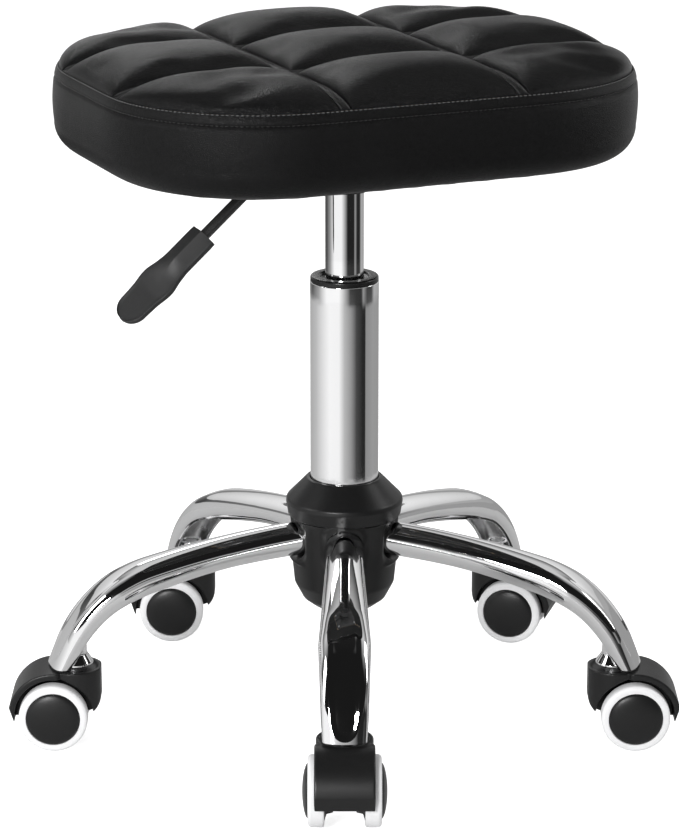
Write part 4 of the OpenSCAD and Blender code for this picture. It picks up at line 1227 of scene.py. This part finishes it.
def make_hub():
    """Moulded hub body with an opening for each leg, and the cone-shaped cap on it."""
    verts, faces = lathe(hub_side(), 420)
    radius = np.hypot(verts[:, 0], verts[:, 1])
    pressed = pressed_radius(verts, radius)
    scale = np.divide(pressed, radius, out=np.ones_like(radius), where=radius > 0)
    verts[:, 0] *= scale
    verts[:, 1] *= scale
    shell = make_piece("hub_body", verts, faces, [HUB_PLASTIC], crease=55)
    settle(shell, "base", "hub_plastic", "hub_shell")

    neck, widest, rim, top = TUBE_HIGH.x + 0.4 * MM, CAP_HIGH.x, CAP_LOW.z, CAP_HIGH.z
    cap = filleted([(neck, top, 0.3 * MM), (TUBE_HIGH.x + 2.6 * MM, top, 2.5 * MM),
                    (widest - 0.4 * MM, rim + 12.5 * MM, 3.0 * MM), (widest, rim + 9.5 * MM, 2.5 * MM),
                    (widest - 1.6 * MM, rim, 0.9 * MM), (widest - 4 * MM, rim, 0.4 * MM),
                    (widest - 2.4 * MM, rim + 10 * MM, 1 * MM),
                    (TUBE_HIGH.x + 2 * MM, top - 2 * MM, 0.5 * MM), (neck, top - 2 * MM, 0)], 8)
    cone = make_piece("hub_cap_cone", *lathe(cap, 224), [HUB_PLASTIC], crease=50)
    settle(cone, "base", "hub_plastic", "hub_cap")


# ------------------------------------------------------------------ legs
TIP_SLOPE, TIP_RUN, TIP_OVERHANG = math.radians(68), 16 * MM, 18.5 * MM
BEND_SLOPE, BEND_R, HUB_SLOPE = math.radians(13), 98 * MM, math.radians(3)
LEG_WALL = 2.2 * MM
OUTER_COUNT = 145            # points across the outer face of a leg
LEG_INNER_R = CORE_R - 2 * MM


def leg_table(u, rows):
    """A measure of the leg at u, read between the rows (u, value)."""
    return np.interp(u, [r[0] for r in rows], [r[1] for r in rows])


def leg_stations():
    """(radius, height, slope, u) along the crest, with u from 0 at the hub to 3 at the tip."""
    tip_r = STEM_CIRCLE + TIP_OVERHANG
    end = np.array([tip_r - TIP_RUN * math.cos(TIP_SLOPE), TIP_Z + TIP_RUN * math.sin(TIP_SLOPE)])
    centre = end - BEND_R * np.array([math.sin(TIP_SLOPE), math.cos(TIP_SLOPE)])
    start = centre + BEND_R * np.array([math.sin(BEND_SLOPE), math.cos(BEND_SLOPE)])
    long_r = (start[0] - LEG_INNER_R) / (math.sin(BEND_SLOPE) - math.sin(HUB_SLOPE))
    long_centre = start - long_r * np.array([math.sin(BEND_SLOPE), math.cos(BEND_SLOPE)])
    stations = []
    for t in np.linspace(0, 1, 40):
        h = HUB_SLOPE + (BEND_SLOPE - HUB_SLOPE) * t
        stations.append((long_centre[0] + long_r * math.sin(h), long_centre[1] + long_r * math.cos(h), h, t))
    for t in np.linspace(0, 1, 46)[1:]:
        h = BEND_SLOPE + (TIP_SLOPE - BEND_SLOPE) * t
        stations.append((centre[0] + BEND_R * math.sin(h), centre[1] + BEND_R * math.cos(h), h, 1 + t))
    return stations


def leg_outline(u):
    """Closed outline of the channel section at u: (sideways, down), round lips included."""
    half_w = leg_table(u, [(0, 13.5), (0.6, 15), (1.35, 18.5), (2, 16.5), (3, 15.5)]) * MM
    depth = leg_table(u, [(0, 25), (1, 22), (1.5, 17), (2, 13.5), (3, 10.5)]) * MM
    opened = math.radians(leg_table(u, [(0, 176.5), (0.5, 175), (1.2, 124), (3, 118)]))
    square = leg_table(u, [(0, 1), (0.5, 1), (1.3, 0.74), (3, 0.74)])

    def power(v):
        """Squares off a round outline."""
        return np.sign(v) * np.abs(v) ** square

    half_d = depth / (1 - power(math.cos(opened)))
    a = np.linspace(-opened, opened, OUTER_COUNT)
    outer = np.column_stack([half_w * power(np.sin(a)), half_d - half_d * power(np.cos(a))])
    inner = np.column_stack([(half_w - LEG_WALL) * power(np.sin(a)),
                             half_d - (half_d - LEG_WALL) * power(np.cos(a))])

    def lip(p, q):
        """Half-round edge from p on the outer face to q on the inner face."""
        middle, arm = (p + q) / 2, (p - q) / 2
        normal = np.array([-arm[1], arm[0]])
        if normal @ np.array([0, 1.0]) < 0:
            normal = -normal
        return [middle + arm * math.cos(t) + normal * math.sin(t) * 0.8
                for t in np.linspace(0.4, math.pi - 0.4, 5)]

    ring = list(outer) + lip(outer[-1], inner[-1]) + list(inner[::-1]) + lip(inner[0], outer[0])
    return np.array(ring)


def pressed_trough(u, run_to_tip, sideways):
    """Depth of the trough pressed along the crest, which narrows to a round end above the tip."""
    end_gap, soft_edge = 4 * MM, 2.4 * MM
    half = 10.5 * MM - 3.8 * MM * smooth_step(1.2, 2.7, u)
    reach = np.hypot(sideways, np.maximum(end_gap + half - run_to_tip, 0))
    wall = 1 - smooth_step(half - soft_edge, half + soft_edge, reach)
    deep = np.interp(run_to_tip, (end_gap, 36 * MM, 75 * MM), (0.6 * MM, 1.9 * MM, 1.3 * MM))
    return deep * wall * smooth_step(0.8, 1.9, u)


def leg_points():
    """All rings of one leg, drawn along +X."""
    stations = leg_stations()
    end = stations[-1]
    bend_length = BEND_R * (TIP_SLOPE - BEND_SLOPE)
    rings = []
    crest = slice(0, OUTER_COUNT)
    for radius, height, slope, u in stations:
        outline = leg_outline(u)
        run = TIP_RUN + (2 - u) * bend_length if u > 1 else 1.0
        outline[crest, 1] += pressed_trough(u, run, outline[crest, 0]) * near_crest(outline[crest, 1])
        rings.append(np.column_stack([radius - outline[:, 1] * math.sin(slope), outline[:, 0],
                                      height - outline[:, 1] * math.cos(slope)]))
    direction = np.array([math.cos(TIP_SLOPE), 0, -math.sin(TIP_SLOPE)])
    for share in np.linspace(0, 1, 25)[1:]:
        outline = leg_outline(2 + share)
        to_floor = (end[1] - outline[:, 1] * math.cos(TIP_SLOPE) - TIP_Z) / math.sin(TIP_SLOPE)
        outline[crest, 1] += (pressed_trough(2 + share, to_floor[crest] * (1 - share), outline[crest, 0])
                              * near_crest(outline[crest, 1]))
        flat = np.column_stack([end[0] - outline[:, 1] * math.sin(TIP_SLOPE), outline[:, 0],
                                end[1] - outline[:, 1] * math.cos(TIP_SLOPE)])
        to_floor = (flat[:, 2] - TIP_Z) / math.sin(TIP_SLOPE)
        rings.append(flat + direction * (to_floor * share)[:, None])
    return rings


def near_crest(down):
    """1 on the crest and 0 on the sides of the channel."""
    return 1 - smooth_step(5 * MM, 9 * MM, down)


def make_legs():
    """One leg drawn along +X, copied to its five places."""
    rings = leg_points()
    verts, faces = loft(rings, caps=("start",))
    m = len(rings[0])
    last = len(rings) - 1
    inner_columns = range(OUTER_COUNT + 4, 2 * OUTER_COUNT + 6)
    inside = [int(len(face) == 4 and all(i % m in inner_columns for i in face)) for face in faces]
    for k in range(OUTER_COUNT - 1):
        inner = last * m + 2 * OUTER_COUNT + 4 - k
        faces.append((last * m + k, last * m + k + 1, inner - 1, inner))
        inside.append(0)
    pattern = make_piece("leg_pattern", verts, faces, [CHROME, CHROME_INSIDE], inside, crease=38)
    for place in PLACES:
        angle, _ = place_of_leg(place)
        leg = copy_piece(pattern, "leg_%s_chrome" % place, Matrix.Rotation(angle, 4, "Z"))
        settle(leg, "base", "chrome", "leg_" + place)
    bpy.data.objects.remove(pattern)


def make_leg_sockets():
    """Flared boss in each leg tip, and the plate that closes the tip round it."""
    bore = 6 * MM
    boss_top = TIP_Z + 17 * MM
    boss = filleted([(bore, TIP_Z, 0.4 * MM), (13.6 * MM, TIP_Z, 0.8 * MM),
                     (13.2 * MM, TIP_Z + 1.6 * MM, 1.2 * MM), (8.9 * MM, TIP_Z + 8 * MM, 4 * MM),
                     (8.6 * MM, boss_top, 0.8 * MM), (bore, boss_top, 0.4 * MM)], 6)
    verts, faces = lathe(boss, 64)
    plate = filleted([(4 * MM, -12.6 * MM, 2 * MM), (14.4 * MM, -12.6 * MM, 5 * MM), (15.4 * MM, 0, 20 * MM),
                      (14.4 * MM, 12.6 * MM, 5 * MM), (4 * MM, 12.6 * MM, 2 * MM)], 5)
    plate = np.array([p for p in plate if np.hypot(*p) > bore])
    low, high = TIP_Z + 0.3 * MM, TIP_Z + 3 * MM
    rings = [np.column_stack([plate, np.full(len(plate), z)]) for z in (low, high)]
    more, more_faces = loft(rings, caps=("start", "end"))
    faces = faces + [tuple(i + len(verts) for i in f) for f in more_faces]
    verts = np.vstack([verts, more])
    pattern = make_piece("socket_pattern", verts, faces, [CHROME], crease=40)
    joined = []
    for place in PLACES:
        angle, radius = place_of_leg(place)
        where = Matrix.Rotation(angle, 4, "Z") @ Matrix.Translation((radius, 0, 0))
        joined.append(copy_piece(pattern, "socket_" + place, where))
    piece = join_pieces("leg_socket_bosses", joined)
    bpy.data.objects.remove(pattern)
    settle(piece, "base", "chrome", "leg_sockets")


def join_pieces(name, pieces):
    """One object made of several pieces' meshes."""
    work = bmesh.new()
    for piece in pieces:
        work.from_mesh(piece.data)
    mesh = bpy.data.meshes.new(name)
    work.to_mesh(mesh)
    work.free()
    for finish in pieces[0].data.materials:
        mesh.materials.append(finish)
    for piece in pieces:
        bpy.data.objects.remove(piece)
    joined = bpy.data.objects.new(name, mesh)
    bpy.context.scene.collection.objects.link(joined)
    mesh.polygons.foreach_set("use_smooth", [True] * len(mesh.polygons))
    mesh.set_sharp_from_angle(angle=math.radians(40))
    return joined


# ------------------------------------------------------------------ casters
HOOD_HALF_W = 21 * MM
WELL_R = WHEEL_R + 3.3 * MM      # hollow of the hood over a wheel
HOOD_R = WELL_R + 4.7 * MM       # outside of the fender
WEB_HALF = 7.5 * MM              # half width of the web between the wheels
COLLAR_R = 20 * MM               # round end of the hood about its stem
HOOD_TOP = WHEEL_R + HOOD_R
DRUM_R = WHEEL_R - 4 * MM        # drum of the wheel that carries the tread
COVER_R = WHEEL_R - 5.7 * MM     # domed cover of the wheel
AXLE_BORE_R = 3.05 * MM
STEM_BORE_R = 5.55 * MM


def extruded(outline, low, high, axis="Y"):
    """A closed outline of (x, z) points extruded along Y, or (x, y) points along Z."""
    rings = []
    for offset in (low, high):
        side = np.full(len(outline), offset)
        columns = [outline[:, 0], outline[:, 1]]
        columns.insert(1 if axis == "Y" else 2, side)
        rings.append(np.column_stack(columns))
    return loft(rings, caps=("start", "end"))


def arc(cx, cy, r, start, end, steps):
    """Unrounded corners along an arc, with its angles in degrees."""
    angles = np.radians(np.linspace(start, end, steps))
    return [(cx + r * math.cos(a), cy + r * math.sin(a), 0) for a in angles]


def hood_side_outline():
    """Side view of the hood: fender, flat top, stem side, rounded skirt and pointed tail."""
    stem_side = -18.8 * MM
    corners = [(stem_side, HOOD_TOP, 0), (TRAIL, HOOD_TOP, 0)]
    corners += arc(TRAIL, WHEEL_R, HOOD_R, 90, 12, 40)
    tail_z = WHEEL_R - 3.5 * MM
    corners += [(TRAIL + WELL_R + 0.6 * MM, tail_z, 0.4 * MM), (TRAIL + 20 * MM, tail_z, 0),
                (TRAIL + 8 * MM, WHEEL_R - 8 * MM, 0), (TRAIL - 10 * MM, WHEEL_R, 0)]
    skirt_r = 11 * MM
    corners += arc(stem_side + skirt_r, WHEEL_R + skirt_r, skirt_r, 270, 180, 14)
    return np.array(corners)[:, :2]


def cut_away(piece, tool, operation="DIFFERENCE"):
    """Boolean of two closed meshes, applied; the tool is removed."""
    modifier = piece.modifiers.new("cut", "BOOLEAN")
    modifier.object = tool
    modifier.operation = operation
    modifier.solver = "EXACT"
    final_mesh(piece)
    bpy.data.objects.remove(tool)
    return piece


def cylinder_y(x, z, radius, low, high, steps=128):
    """A cylinder along Y through (x, z)."""
    outline = np.array(arc(x, z, radius, 0, 360, steps + 1))[:-1, :2]
    return extruded(outline, low, high)


def hood_pattern():
    """One moulded hood with its stem collar, drawn at the stem and trailing along +X."""
    block = extruded(hood_side_outline(), -HOOD_HALF_W, HOOD_HALF_W)
    hood = make_piece("hood_pattern", *block, [CASTER_PLASTIC])
    plan_corners = arc(0, 0, COLLAR_R, 62, 298, 60)
    past_tail = 80 * MM
    plan_corners += [(12 * MM, -HOOD_HALF_W, 2 * MM), (past_tail, -HOOD_HALF_W, 0),
                     (past_tail, HOOD_HALF_W, 0), (12 * MM, HOOD_HALF_W, 2 * MM)]
    plan = filleted(plan_corners, 6)
    cut_away(hood, make_piece("plan", *extruded(plan, -5 * MM, 90 * MM, "Z"), []), "INTERSECT")
    for low, high in ((WEB_HALF, 40 * MM), (-40 * MM, -WEB_HALF)):
        cut_away(hood, make_piece("well", *cylinder_y(TRAIL, WHEEL_R, WELL_R, low, high), []))
    boss = make_piece("boss", *cylinder_y(TRAIL, WHEEL_R, 10 * MM, -WEB_HALF, WEB_HALF, 48), [])
    cut_away(hood, boss, "UNION")
    dish = filleted([(0, HOOD_TOP - 2.6 * MM, 0), (15.5 * MM, HOOD_TOP - 2.6 * MM, 2 * MM),
                     (17.9 * MM, HOOD_TOP + 1 * MM, 0), (0, HOOD_TOP + 1 * MM, 0)], closed=False)
    cut_away(hood, make_piece("dish", *lathe(dish, 96, closed=False), []))
    bore_floor = HOOD_TOP - 24 * MM
    stem_bore = np.array([(0, bore_floor), (STEM_BORE_R, bore_floor), (STEM_BORE_R, HOOD_TOP), (0, HOOD_TOP)])
    cut_away(hood, make_piece("bore", *lathe(stem_bore, 48, closed=False), []))
    voxel = hood.modifiers.new("round_edges", "REMESH")
    voxel.mode = "VOXEL"
    voxel.voxel_size = 0.62 * MM
    voxel.use_smooth_shade = True
    even = hood.modifiers.new("even", "SMOOTH")
    even.factor = 0.5
    even.iterations = 7
    final_mesh(hood)
    hood.data.materials.clear()
    hood.data.materials.append(CASTER_PLASTIC)
    return hood


def wheel_profile(inner_y, tread_in, tread_out):
    """Nylon wheel: inner flange, drum under the tread, gap ring and domed cover."""
    dome = [(COVER_R * math.cos(a), tread_out - 0.2 * MM + 4.1 * MM * math.sin(a) ** 1.15)
            for a in np.radians(np.linspace(0, 90, 22))]
    gap_floor, cover_back = tread_out - 1.6 * MM, tread_out - 2.4 * MM
    corners = [(AXLE_BORE_R, inner_y, 0), (15 * MM, inner_y, 0.5 * MM),
               (16 * MM, tread_in - 1.5 * MM, 1 * MM), (DRUM_R - 0.5 * MM, tread_in - 0.1 * MM, 1 * MM),
               (DRUM_R, tread_in, 0), (DRUM_R, gap_floor, 0), (COVER_R, gap_floor, 0)]
    return np.vstack([filleted(corners, 4, closed=False), np.array(dome), [(0, cover_back)],
                      [(AXLE_BORE_R, cover_back)]])


def tyre_profile(tread_in, tread_out):
    """Soft tread with a lip that reaches in over the wheel as far as its cover."""
    lip_r, lip_back = COVER_R + 0.35 * MM, tread_out - 1.5 * MM
    return filleted([(DRUM_R, tread_in, 0), (WHEEL_R, tread_in, 1.4 * MM), (WHEEL_R, tread_out, 3.2 * MM),
                     (lip_r, tread_out + 0.1 * MM, 0.5 * MM), (lip_r, lip_back, 0), (DRUM_R, lip_back, 0)], 8)


def make_casters():
    """One wheel, tread and hood, copied to the ten wheels and five hoods."""
    inner_y = 8 * MM
    span = 59 * MM / 2
    tread_out = span - 4.1 * MM
    tread_in = tread_out - 11.4 * MM
    to_axle = Matrix.Translation((TRAIL, 0, WHEEL_R)) @ Matrix.Rotation(-math.pi / 2, 4, "X")
    wheel_mesh = lathe(wheel_profile(inner_y, tread_in, tread_out), 112)
    wheel = make_piece("wheel_pattern", *wheel_mesh, [CASTER_PLASTIC], crease=40)
    tread_mesh = lathe(tyre_profile(tread_in, tread_out), 112)
    tyre = make_piece("tyre_pattern", *tread_mesh, [TREAD], crease=40)
    hood = hood_pattern()
    for place in PLACES:
        where = place_of_caster(place)
        one_hood = copy_piece(hood, "caster_hood_" + place, where)
        settle(one_hood, "caster_" + place, "caster_plastic", "hood_" + place)
        for side, flip in (("a", Matrix.Identity(4)), ("b", Matrix.Rotation(math.pi, 4, "X"))):
            wheel_name = "%s_%s" % (side, place)
            matrix = where @ to_axle @ flip
            one_wheel = copy_piece(wheel, "caster_wheel_" + wheel_name, matrix)
            settle(one_wheel, "rolling_" + wheel_name, "caster_plastic", "wheel_" + wheel_name)
            one_tread = copy_piece(tyre, "caster_tread_" + wheel_name, matrix)
            settle(one_tread, "rolling_" + wheel_name, "tread", "tyre_" + wheel_name)
    for pattern in (wheel, tyre, hood):
        bpy.data.objects.remove(pattern)


# ------------------------------------------------------------------ lever
LEVER_BEND = 57 * MM             # from the column to the rod's bend
LEVER_SLOPE = math.radians(41)
LEVER_ROD_R = 4 * MM
LEVER_OUTER = 90 * MM            # straight part of the rod beyond its bend
PADDLE_LONG = 84 * MM
PADDLE_GRIP = 22 * MM            # how far the rod goes into the paddle
PADDLE_TWIST = math.radians(35)
PADDLE_TIP_R = 12.2 * MM
PADDLE_ROUND = 0.16              # share of the paddle that its round tip takes


def make_lever_rod():
    """Round rod with one smooth bend, drawn along +X and then down the slope."""
    bend_r = 14 * MM
    reach = bend_r * math.tan(LEVER_SLOPE / 2)
    centre = np.array([LEVER_BEND - reach, -bend_r])
    path, slopes = [(-3 * MM, 0)], [0]
    for t in np.linspace(0, 1, 14):
        a = LEVER_SLOPE * t
        path.append((centre[0] + bend_r * math.sin(a), centre[1] + bend_r * math.cos(a)))
        slopes.append(a)
    path.append((LEVER_BEND + LEVER_OUTER * math.cos(LEVER_SLOPE), -LEVER_OUTER * math.sin(LEVER_SLOPE)))
    slopes.append(LEVER_SLOPE)
    around = np.linspace(0, 2 * math.pi, 32, endpoint=False)
    rings = []
    for (x, z), slope in zip(path, slopes):
        down, side = LEVER_ROD_R * np.cos(around), LEVER_ROD_R * np.sin(around)
        rings.append(np.column_stack([x + down * math.sin(slope), side, z + down * math.cos(slope)]))
    rod = make_piece("lever_rod_bar", *loft(rings, caps=("start", "end")), [POWDER_COAT])
    round_edges(rod, 0.5 * MM, 2, 50)
    moved(rod, lever_place())
    settle(rod, "lever", "painted_steel", "lever_rod")


def lever_place():
    """Matrix that puts a lever drawn along +X at its pivot."""
    return Matrix.Rotation(SEAT_TURN + math.pi, 4, "Z") @ Matrix.Translation((0, 0, LEVER_Z))


def paddle_half_width(t):
    """Half width along the paddle, with t from 0 at the neck to 1 at the tip."""
    rows = [(0, 10.9), (0.05, 11.2), (0.34, 11.2), (0.44, 12.4), (0.53, 14.4), (0.60, 14.4), (0.70, 12.9),
            (0.84, 12.2)]
    width = np.interp(t, [r[0] for r in rows], [r[1] for r in rows])
    start = 1 - PADDLE_TIP_R / PADDLE_LONG
    if t > start:
        across = (t - start) / (1 - start)
        return PADDLE_TIP_R * math.sqrt(max(0.0, 1 - across ** 2))
    return width * MM


def make_paddle():
    """Moulded paddle: roof-shaped neck round the rod, wide shoulder, flat rounded blade."""
    stations = list(np.linspace(0, 1 - PADDLE_ROUND, 60))
    stations += list(1 - PADDLE_ROUND * np.cos(np.linspace(0, math.pi / 2, 22)))
    stations = sorted(set(np.round(stations, 6)))
    widths = np.array([paddle_half_width(t) for t in stations])
    kernel = np.array([1, 2, 3, 2, 1]) / 9
    body = np.array([t < 0.83 for t in stations])
    evened = np.convolve(np.pad(widths, 2, mode="edge"), kernel, "valid")
    widths = np.where(body, evened, widths)
    half_t = 2.4 * MM
    rings = []
    for t, w in zip(stations, widths):
        w = max(w, 0.25 * MM)
        ridge = 5.2 * MM * (1 - smooth_step(0.30, 0.58, t))
        edge_r = min(half_t, w)
        across = np.linspace(-1, 1, 33)
        roof = ridge * (1 - np.abs(across) ** 1.1)
        dish = 0.9 * MM * smooth_step(0.52, 0.68, t) * (1 - np.abs(across) ** 8)
        flat_w = w - edge_r * 0.55
        turns = np.linspace(0.35, math.pi - 0.35, 7)
        top = np.column_stack([across * flat_w, half_t + roof - dish])
        right = [(flat_w + edge_r * 0.55 * math.sin(a), half_t * math.cos(a)) for a in turns]
        bottom = np.column_stack([across[::-1] * flat_w, -half_t - 0.55 * roof[::-1]])
        left = [(-flat_w - edge_r * 0.55 * math.sin(a), -half_t * math.cos(a)) for a in turns]
        ring = np.vstack([top, right, bottom, left])
        rings.append(np.column_stack([np.full(len(ring), t * PADDLE_LONG), ring[:, 0], ring[:, 1]]))
    paddle = make_piece("lever_paddle_grip", *loft(rings, caps=("start", "end")), [LEVER_PLASTIC], crease=50)
    round_edges(paddle, 0.7 * MM, 3, 60)
    tilt = Matrix.Rotation(-PADDLE_TWIST, 4, "X")
    out = Matrix.Translation((LEVER_OUTER - PADDLE_GRIP, 0, 0))
    slope = Matrix.Translation((LEVER_BEND, 0, 0)) @ Matrix.Rotation(LEVER_SLOPE, 4, "Y")
    moved(paddle, lever_place() @ slope @ out @ tilt)
    settle(paddle, "lever", "lever_plastic", "lever_paddle")


# ------------------------------------------------------------------ studio
def shade_ramp(wire, value, bands):
    """Grey ramp through (position, brightness) stops."""
    ramp = wire.add("ShaderNodeValToRGB", {0: value})
    stops = ramp.color_ramp.elements
    while len(stops) < len(bands):
        stops.new(0.5)
    for stop, (place, bright) in zip(stops, bands):
        stop.position = place
        stop.color = (bright, bright, bright, 1)
    return ramp.outputs[0]


TENT_R, TENT_STEP_R = 0.60, 0.72             # radius of the ring of light, below and above its step
TENT_STEP_Z, TENT_TOP_Z = 0.170, 0.280
CARD_R, CARD_LOW_Z, CARD_TOP_Z = 0.73, 0.26, 0.54
FLOOR_HALF = 14.0
LENS_LENGTH = 148.2
CAMERA_PLACE = (-0.0036, -2.4, 0.935)
CAMERA_DIP = math.radians(16.41)


def surroundings():
    """World that is white to the camera, and for the chrome bright at the horizon and dark above."""
    world = bpy.data.worlds.new("studio")
    bpy.context.scene.world = world
    world.use_nodes = True
    wire = Wiring(world.node_tree)
    world.node_tree.nodes.clear()
    way = wire.add("ShaderNodeTexCoord").outputs["Generated"]
    part = wire.add("ShaderNodeSeparateXYZ", {0: way}).outputs
    elevation = wire.math("DIVIDE", wire.math("ARCSINE", part[2]), math.pi / 2)
    upward = wire.spread(elevation, 0.0, 1.0)
    front = shade_ramp(wire, upward, [(0.0, 0.60), (0.16, 0.50), (0.23, 0.010), (0.9, 0.010), (1.0, 0.012)])
    back = shade_ramp(wire, upward, [(0.0, 1.0), (0.06, 0.75), (0.13, 0.10), (0.19, 0.03), (0.31, 0.04),
                                     (0.42, 0.30), (0.54, 0.60), (0.78, 0.62), (0.86, 0.015), (1.0, 0.012)])
    seen = wire.mix(wire.spread(part[1], -0.2, 0.25), front, back)
    path = wire.add("ShaderNodeLightPath").outputs
    seen = wire.mix(path["Is Diffuse Ray"], seen, tint(0.40))
    colour = wire.mix(path["Is Camera Ray"], seen, tint(1.0))
    light = wire.add("ShaderNodeBackground", {"Color": colour, "Strength": 1.0})
    out = wire.add("ShaderNodeOutputWorld")
    wire.join(light.outputs[0], out.inputs[0])


def pale_floor():
    """Matt pale floor, which glows a little to the camera and is darker where chrome mirrors it."""
    floor_paint = Finish("floor_paint", Roughness=0.9)
    tone = floor_paint.noise(floor_paint.where, 3.0, 2.0)
    path = floor_paint.add("ShaderNodeLightPath").outputs
    to_camera, mirrored = path["Is Camera Ray"], path["Is Glossy Ray"]
    glow = floor_paint.mix(to_camera, tint(0.0), tint(0.80))
    floor_paint.shader.inputs["Emission Strength"].default_value = 1.0
    paint = floor_paint.mix(mirrored, floor_paint.mix(tone, tint(0.84), tint(0.87)), tint(0.58))
    floor_paint.set(Base_Color=paint, Emission_Color=glow)
    corners = [(x * FLOOR_HALF, y * FLOOR_HALF, 0) for x, y in ((-1, -1), (1, -1), (1, 1), (-1, 1))]
    make_piece("floor", corners, [(0, 1, 2, 3)], [floor_paint.material])


def soft_light(name, place, aim, size_x, size_y, power):
    """Rectangular lamp aimed at a point."""
    data = bpy.data.lights.new(name, "AREA")
    data.shape = "RECTANGLE"
    data.size, data.size_y, data.energy = size_x, size_y, power
    lamp = bpy.data.objects.new(name, data)
    bpy.context.scene.collection.objects.link(lamp)
    lamp.location = place
    toward = Vector(aim) - lamp.location
    lamp.rotation_euler = toward.to_track_quat("-Z", "Y").to_euler()


def only_mirrored(name, mesh, paint):
    """A glowing stage piece that nothing but mirrored rays can see."""
    piece = make_piece(name, *mesh, [paint.material])
    piece.visible_camera = piece.visible_diffuse = piece.visible_shadow = False


def ring_of_light():
    """Stepped ring round the stool: its light and dark stripes make the bands on the chrome."""
    paint = Finish("tent_paint", Roughness=1.0)
    part = paint.add("ShaderNodeSeparateXYZ", {0: paint.where}).outputs
    toward = paint.math("MULTIPLY", part[1], -1.0)
    azimuth = paint.spread(paint.math("ARCTAN2", part[0], toward), -math.pi, math.pi)
    low = shade_ramp(paint, azimuth, [
        (0.0, 0.62), (0.10, 0.42), (0.20, 0.52), (0.27, 0.72), (0.36, 0.97), (0.45, 0.95), (0.50, 0.50),
        (0.56, 0.30), (0.61, 0.06), (0.675, 0.012), (0.70, 0.012), (0.708, 0.26), (0.80, 0.32), (0.92, 0.30),
        (1.0, 0.62)])
    high = shade_ramp(paint, azimuth, [
        (0.0, 0.30), (0.14, 0.04), (0.24, 0.30), (0.33, 0.95), (0.45, 0.95), (0.51, 0.35), (0.55, 0.012),
        (0.66, 0.012), (0.68, 0.30), (0.72, 0.012), (0.78, 0.012), (0.82, 0.4), (1.0, 0.30)])
    rise = paint.spread(part[2], TENT_STEP_Z - 0.006, TENT_STEP_Z + 0.001)
    paint.shader.inputs["Emission Strength"].default_value = 1.0
    paint.set(Base_Color=tint(0.0), Emission_Color=paint.mix(rise, low, high))
    side = [(TENT_R, 0.002), (TENT_R, TENT_STEP_Z), (TENT_STEP_R, TENT_STEP_Z + 0.002),
            (TENT_STEP_R, TENT_TOP_Z)]
    only_mirrored("light_tent", lathe(side, 96, closed=False), paint)


def back_card():
    """Half-round glowing card behind the ring of light and above it."""
    paint = Finish("back_glow_paint", Roughness=1.0)
    paint.shader.inputs["Emission Strength"].default_value = 1.0
    height = paint.add("ShaderNodeSeparateXYZ", {0: paint.where}).outputs[2]
    upward = paint.spread(height, TENT_TOP_Z, CARD_TOP_Z)
    paint.set(Base_Color=tint(0.0), Emission_Color=paint.mix(upward, tint(0.55), tint(0.85)))
    turn = np.linspace(0, math.pi, 40)
    rings = [np.column_stack([CARD_R * np.cos(turn), CARD_R * np.sin(turn), np.full(len(turn), z)])
             for z in (CARD_LOW_Z, CARD_TOP_Z)]
    only_mirrored("back_glow_card", loft(rings, ring_closed=False), paint)


def camera():
    """Long lens in front of the stool, a little above the seat and looking down."""
    lens = bpy.data.cameras.new("camera")
    lens.lens = LENS_LENGTH
    lens.sensor_width = 36.0
    lens.clip_start = 0.05
    viewer = bpy.data.objects.new("camera", lens)
    viewer.location = CAMERA_PLACE
    viewer.rotation_euler = (math.pi / 2 - CAMERA_DIP, 0, 0)
    bpy.context.scene.collection.objects.link(viewer)
    bpy.context.scene.camera = viewer


def studio():
    """Pale floor, soft lights, and bright and dark surroundings for the chrome to mirror."""
    bpy.context.scene.view_settings.view_transform = "Standard"
    surroundings()
    pale_floor()
    soft_light("back_light", (-0.45, 1.75, 1.22), (0, 0, 0.48), 0.8, 0.4, 3.5)
    soft_light("left_light", (-1.9, -0.5, 1.3), (0, 0, 0.35), 0.6, 1.4, 11)
    soft_light("right_light", (1.9, 0.3, 1.2), (0, 0, 0.35), 0.5, 1.2, 10)
    soft_light("front_light", (-0.9, -2.4, 1.2), (0, 0, 0.15), 0.6, 0.6, 46)
    ring_of_light()
    back_card()
    camera()


studio()
finish_cad_nodes()
make_seat()
make_underside()
make_column()
make_hub()
make_legs()
make_leg_sockets()
make_casters()
make_lever_rod()
make_paddle()
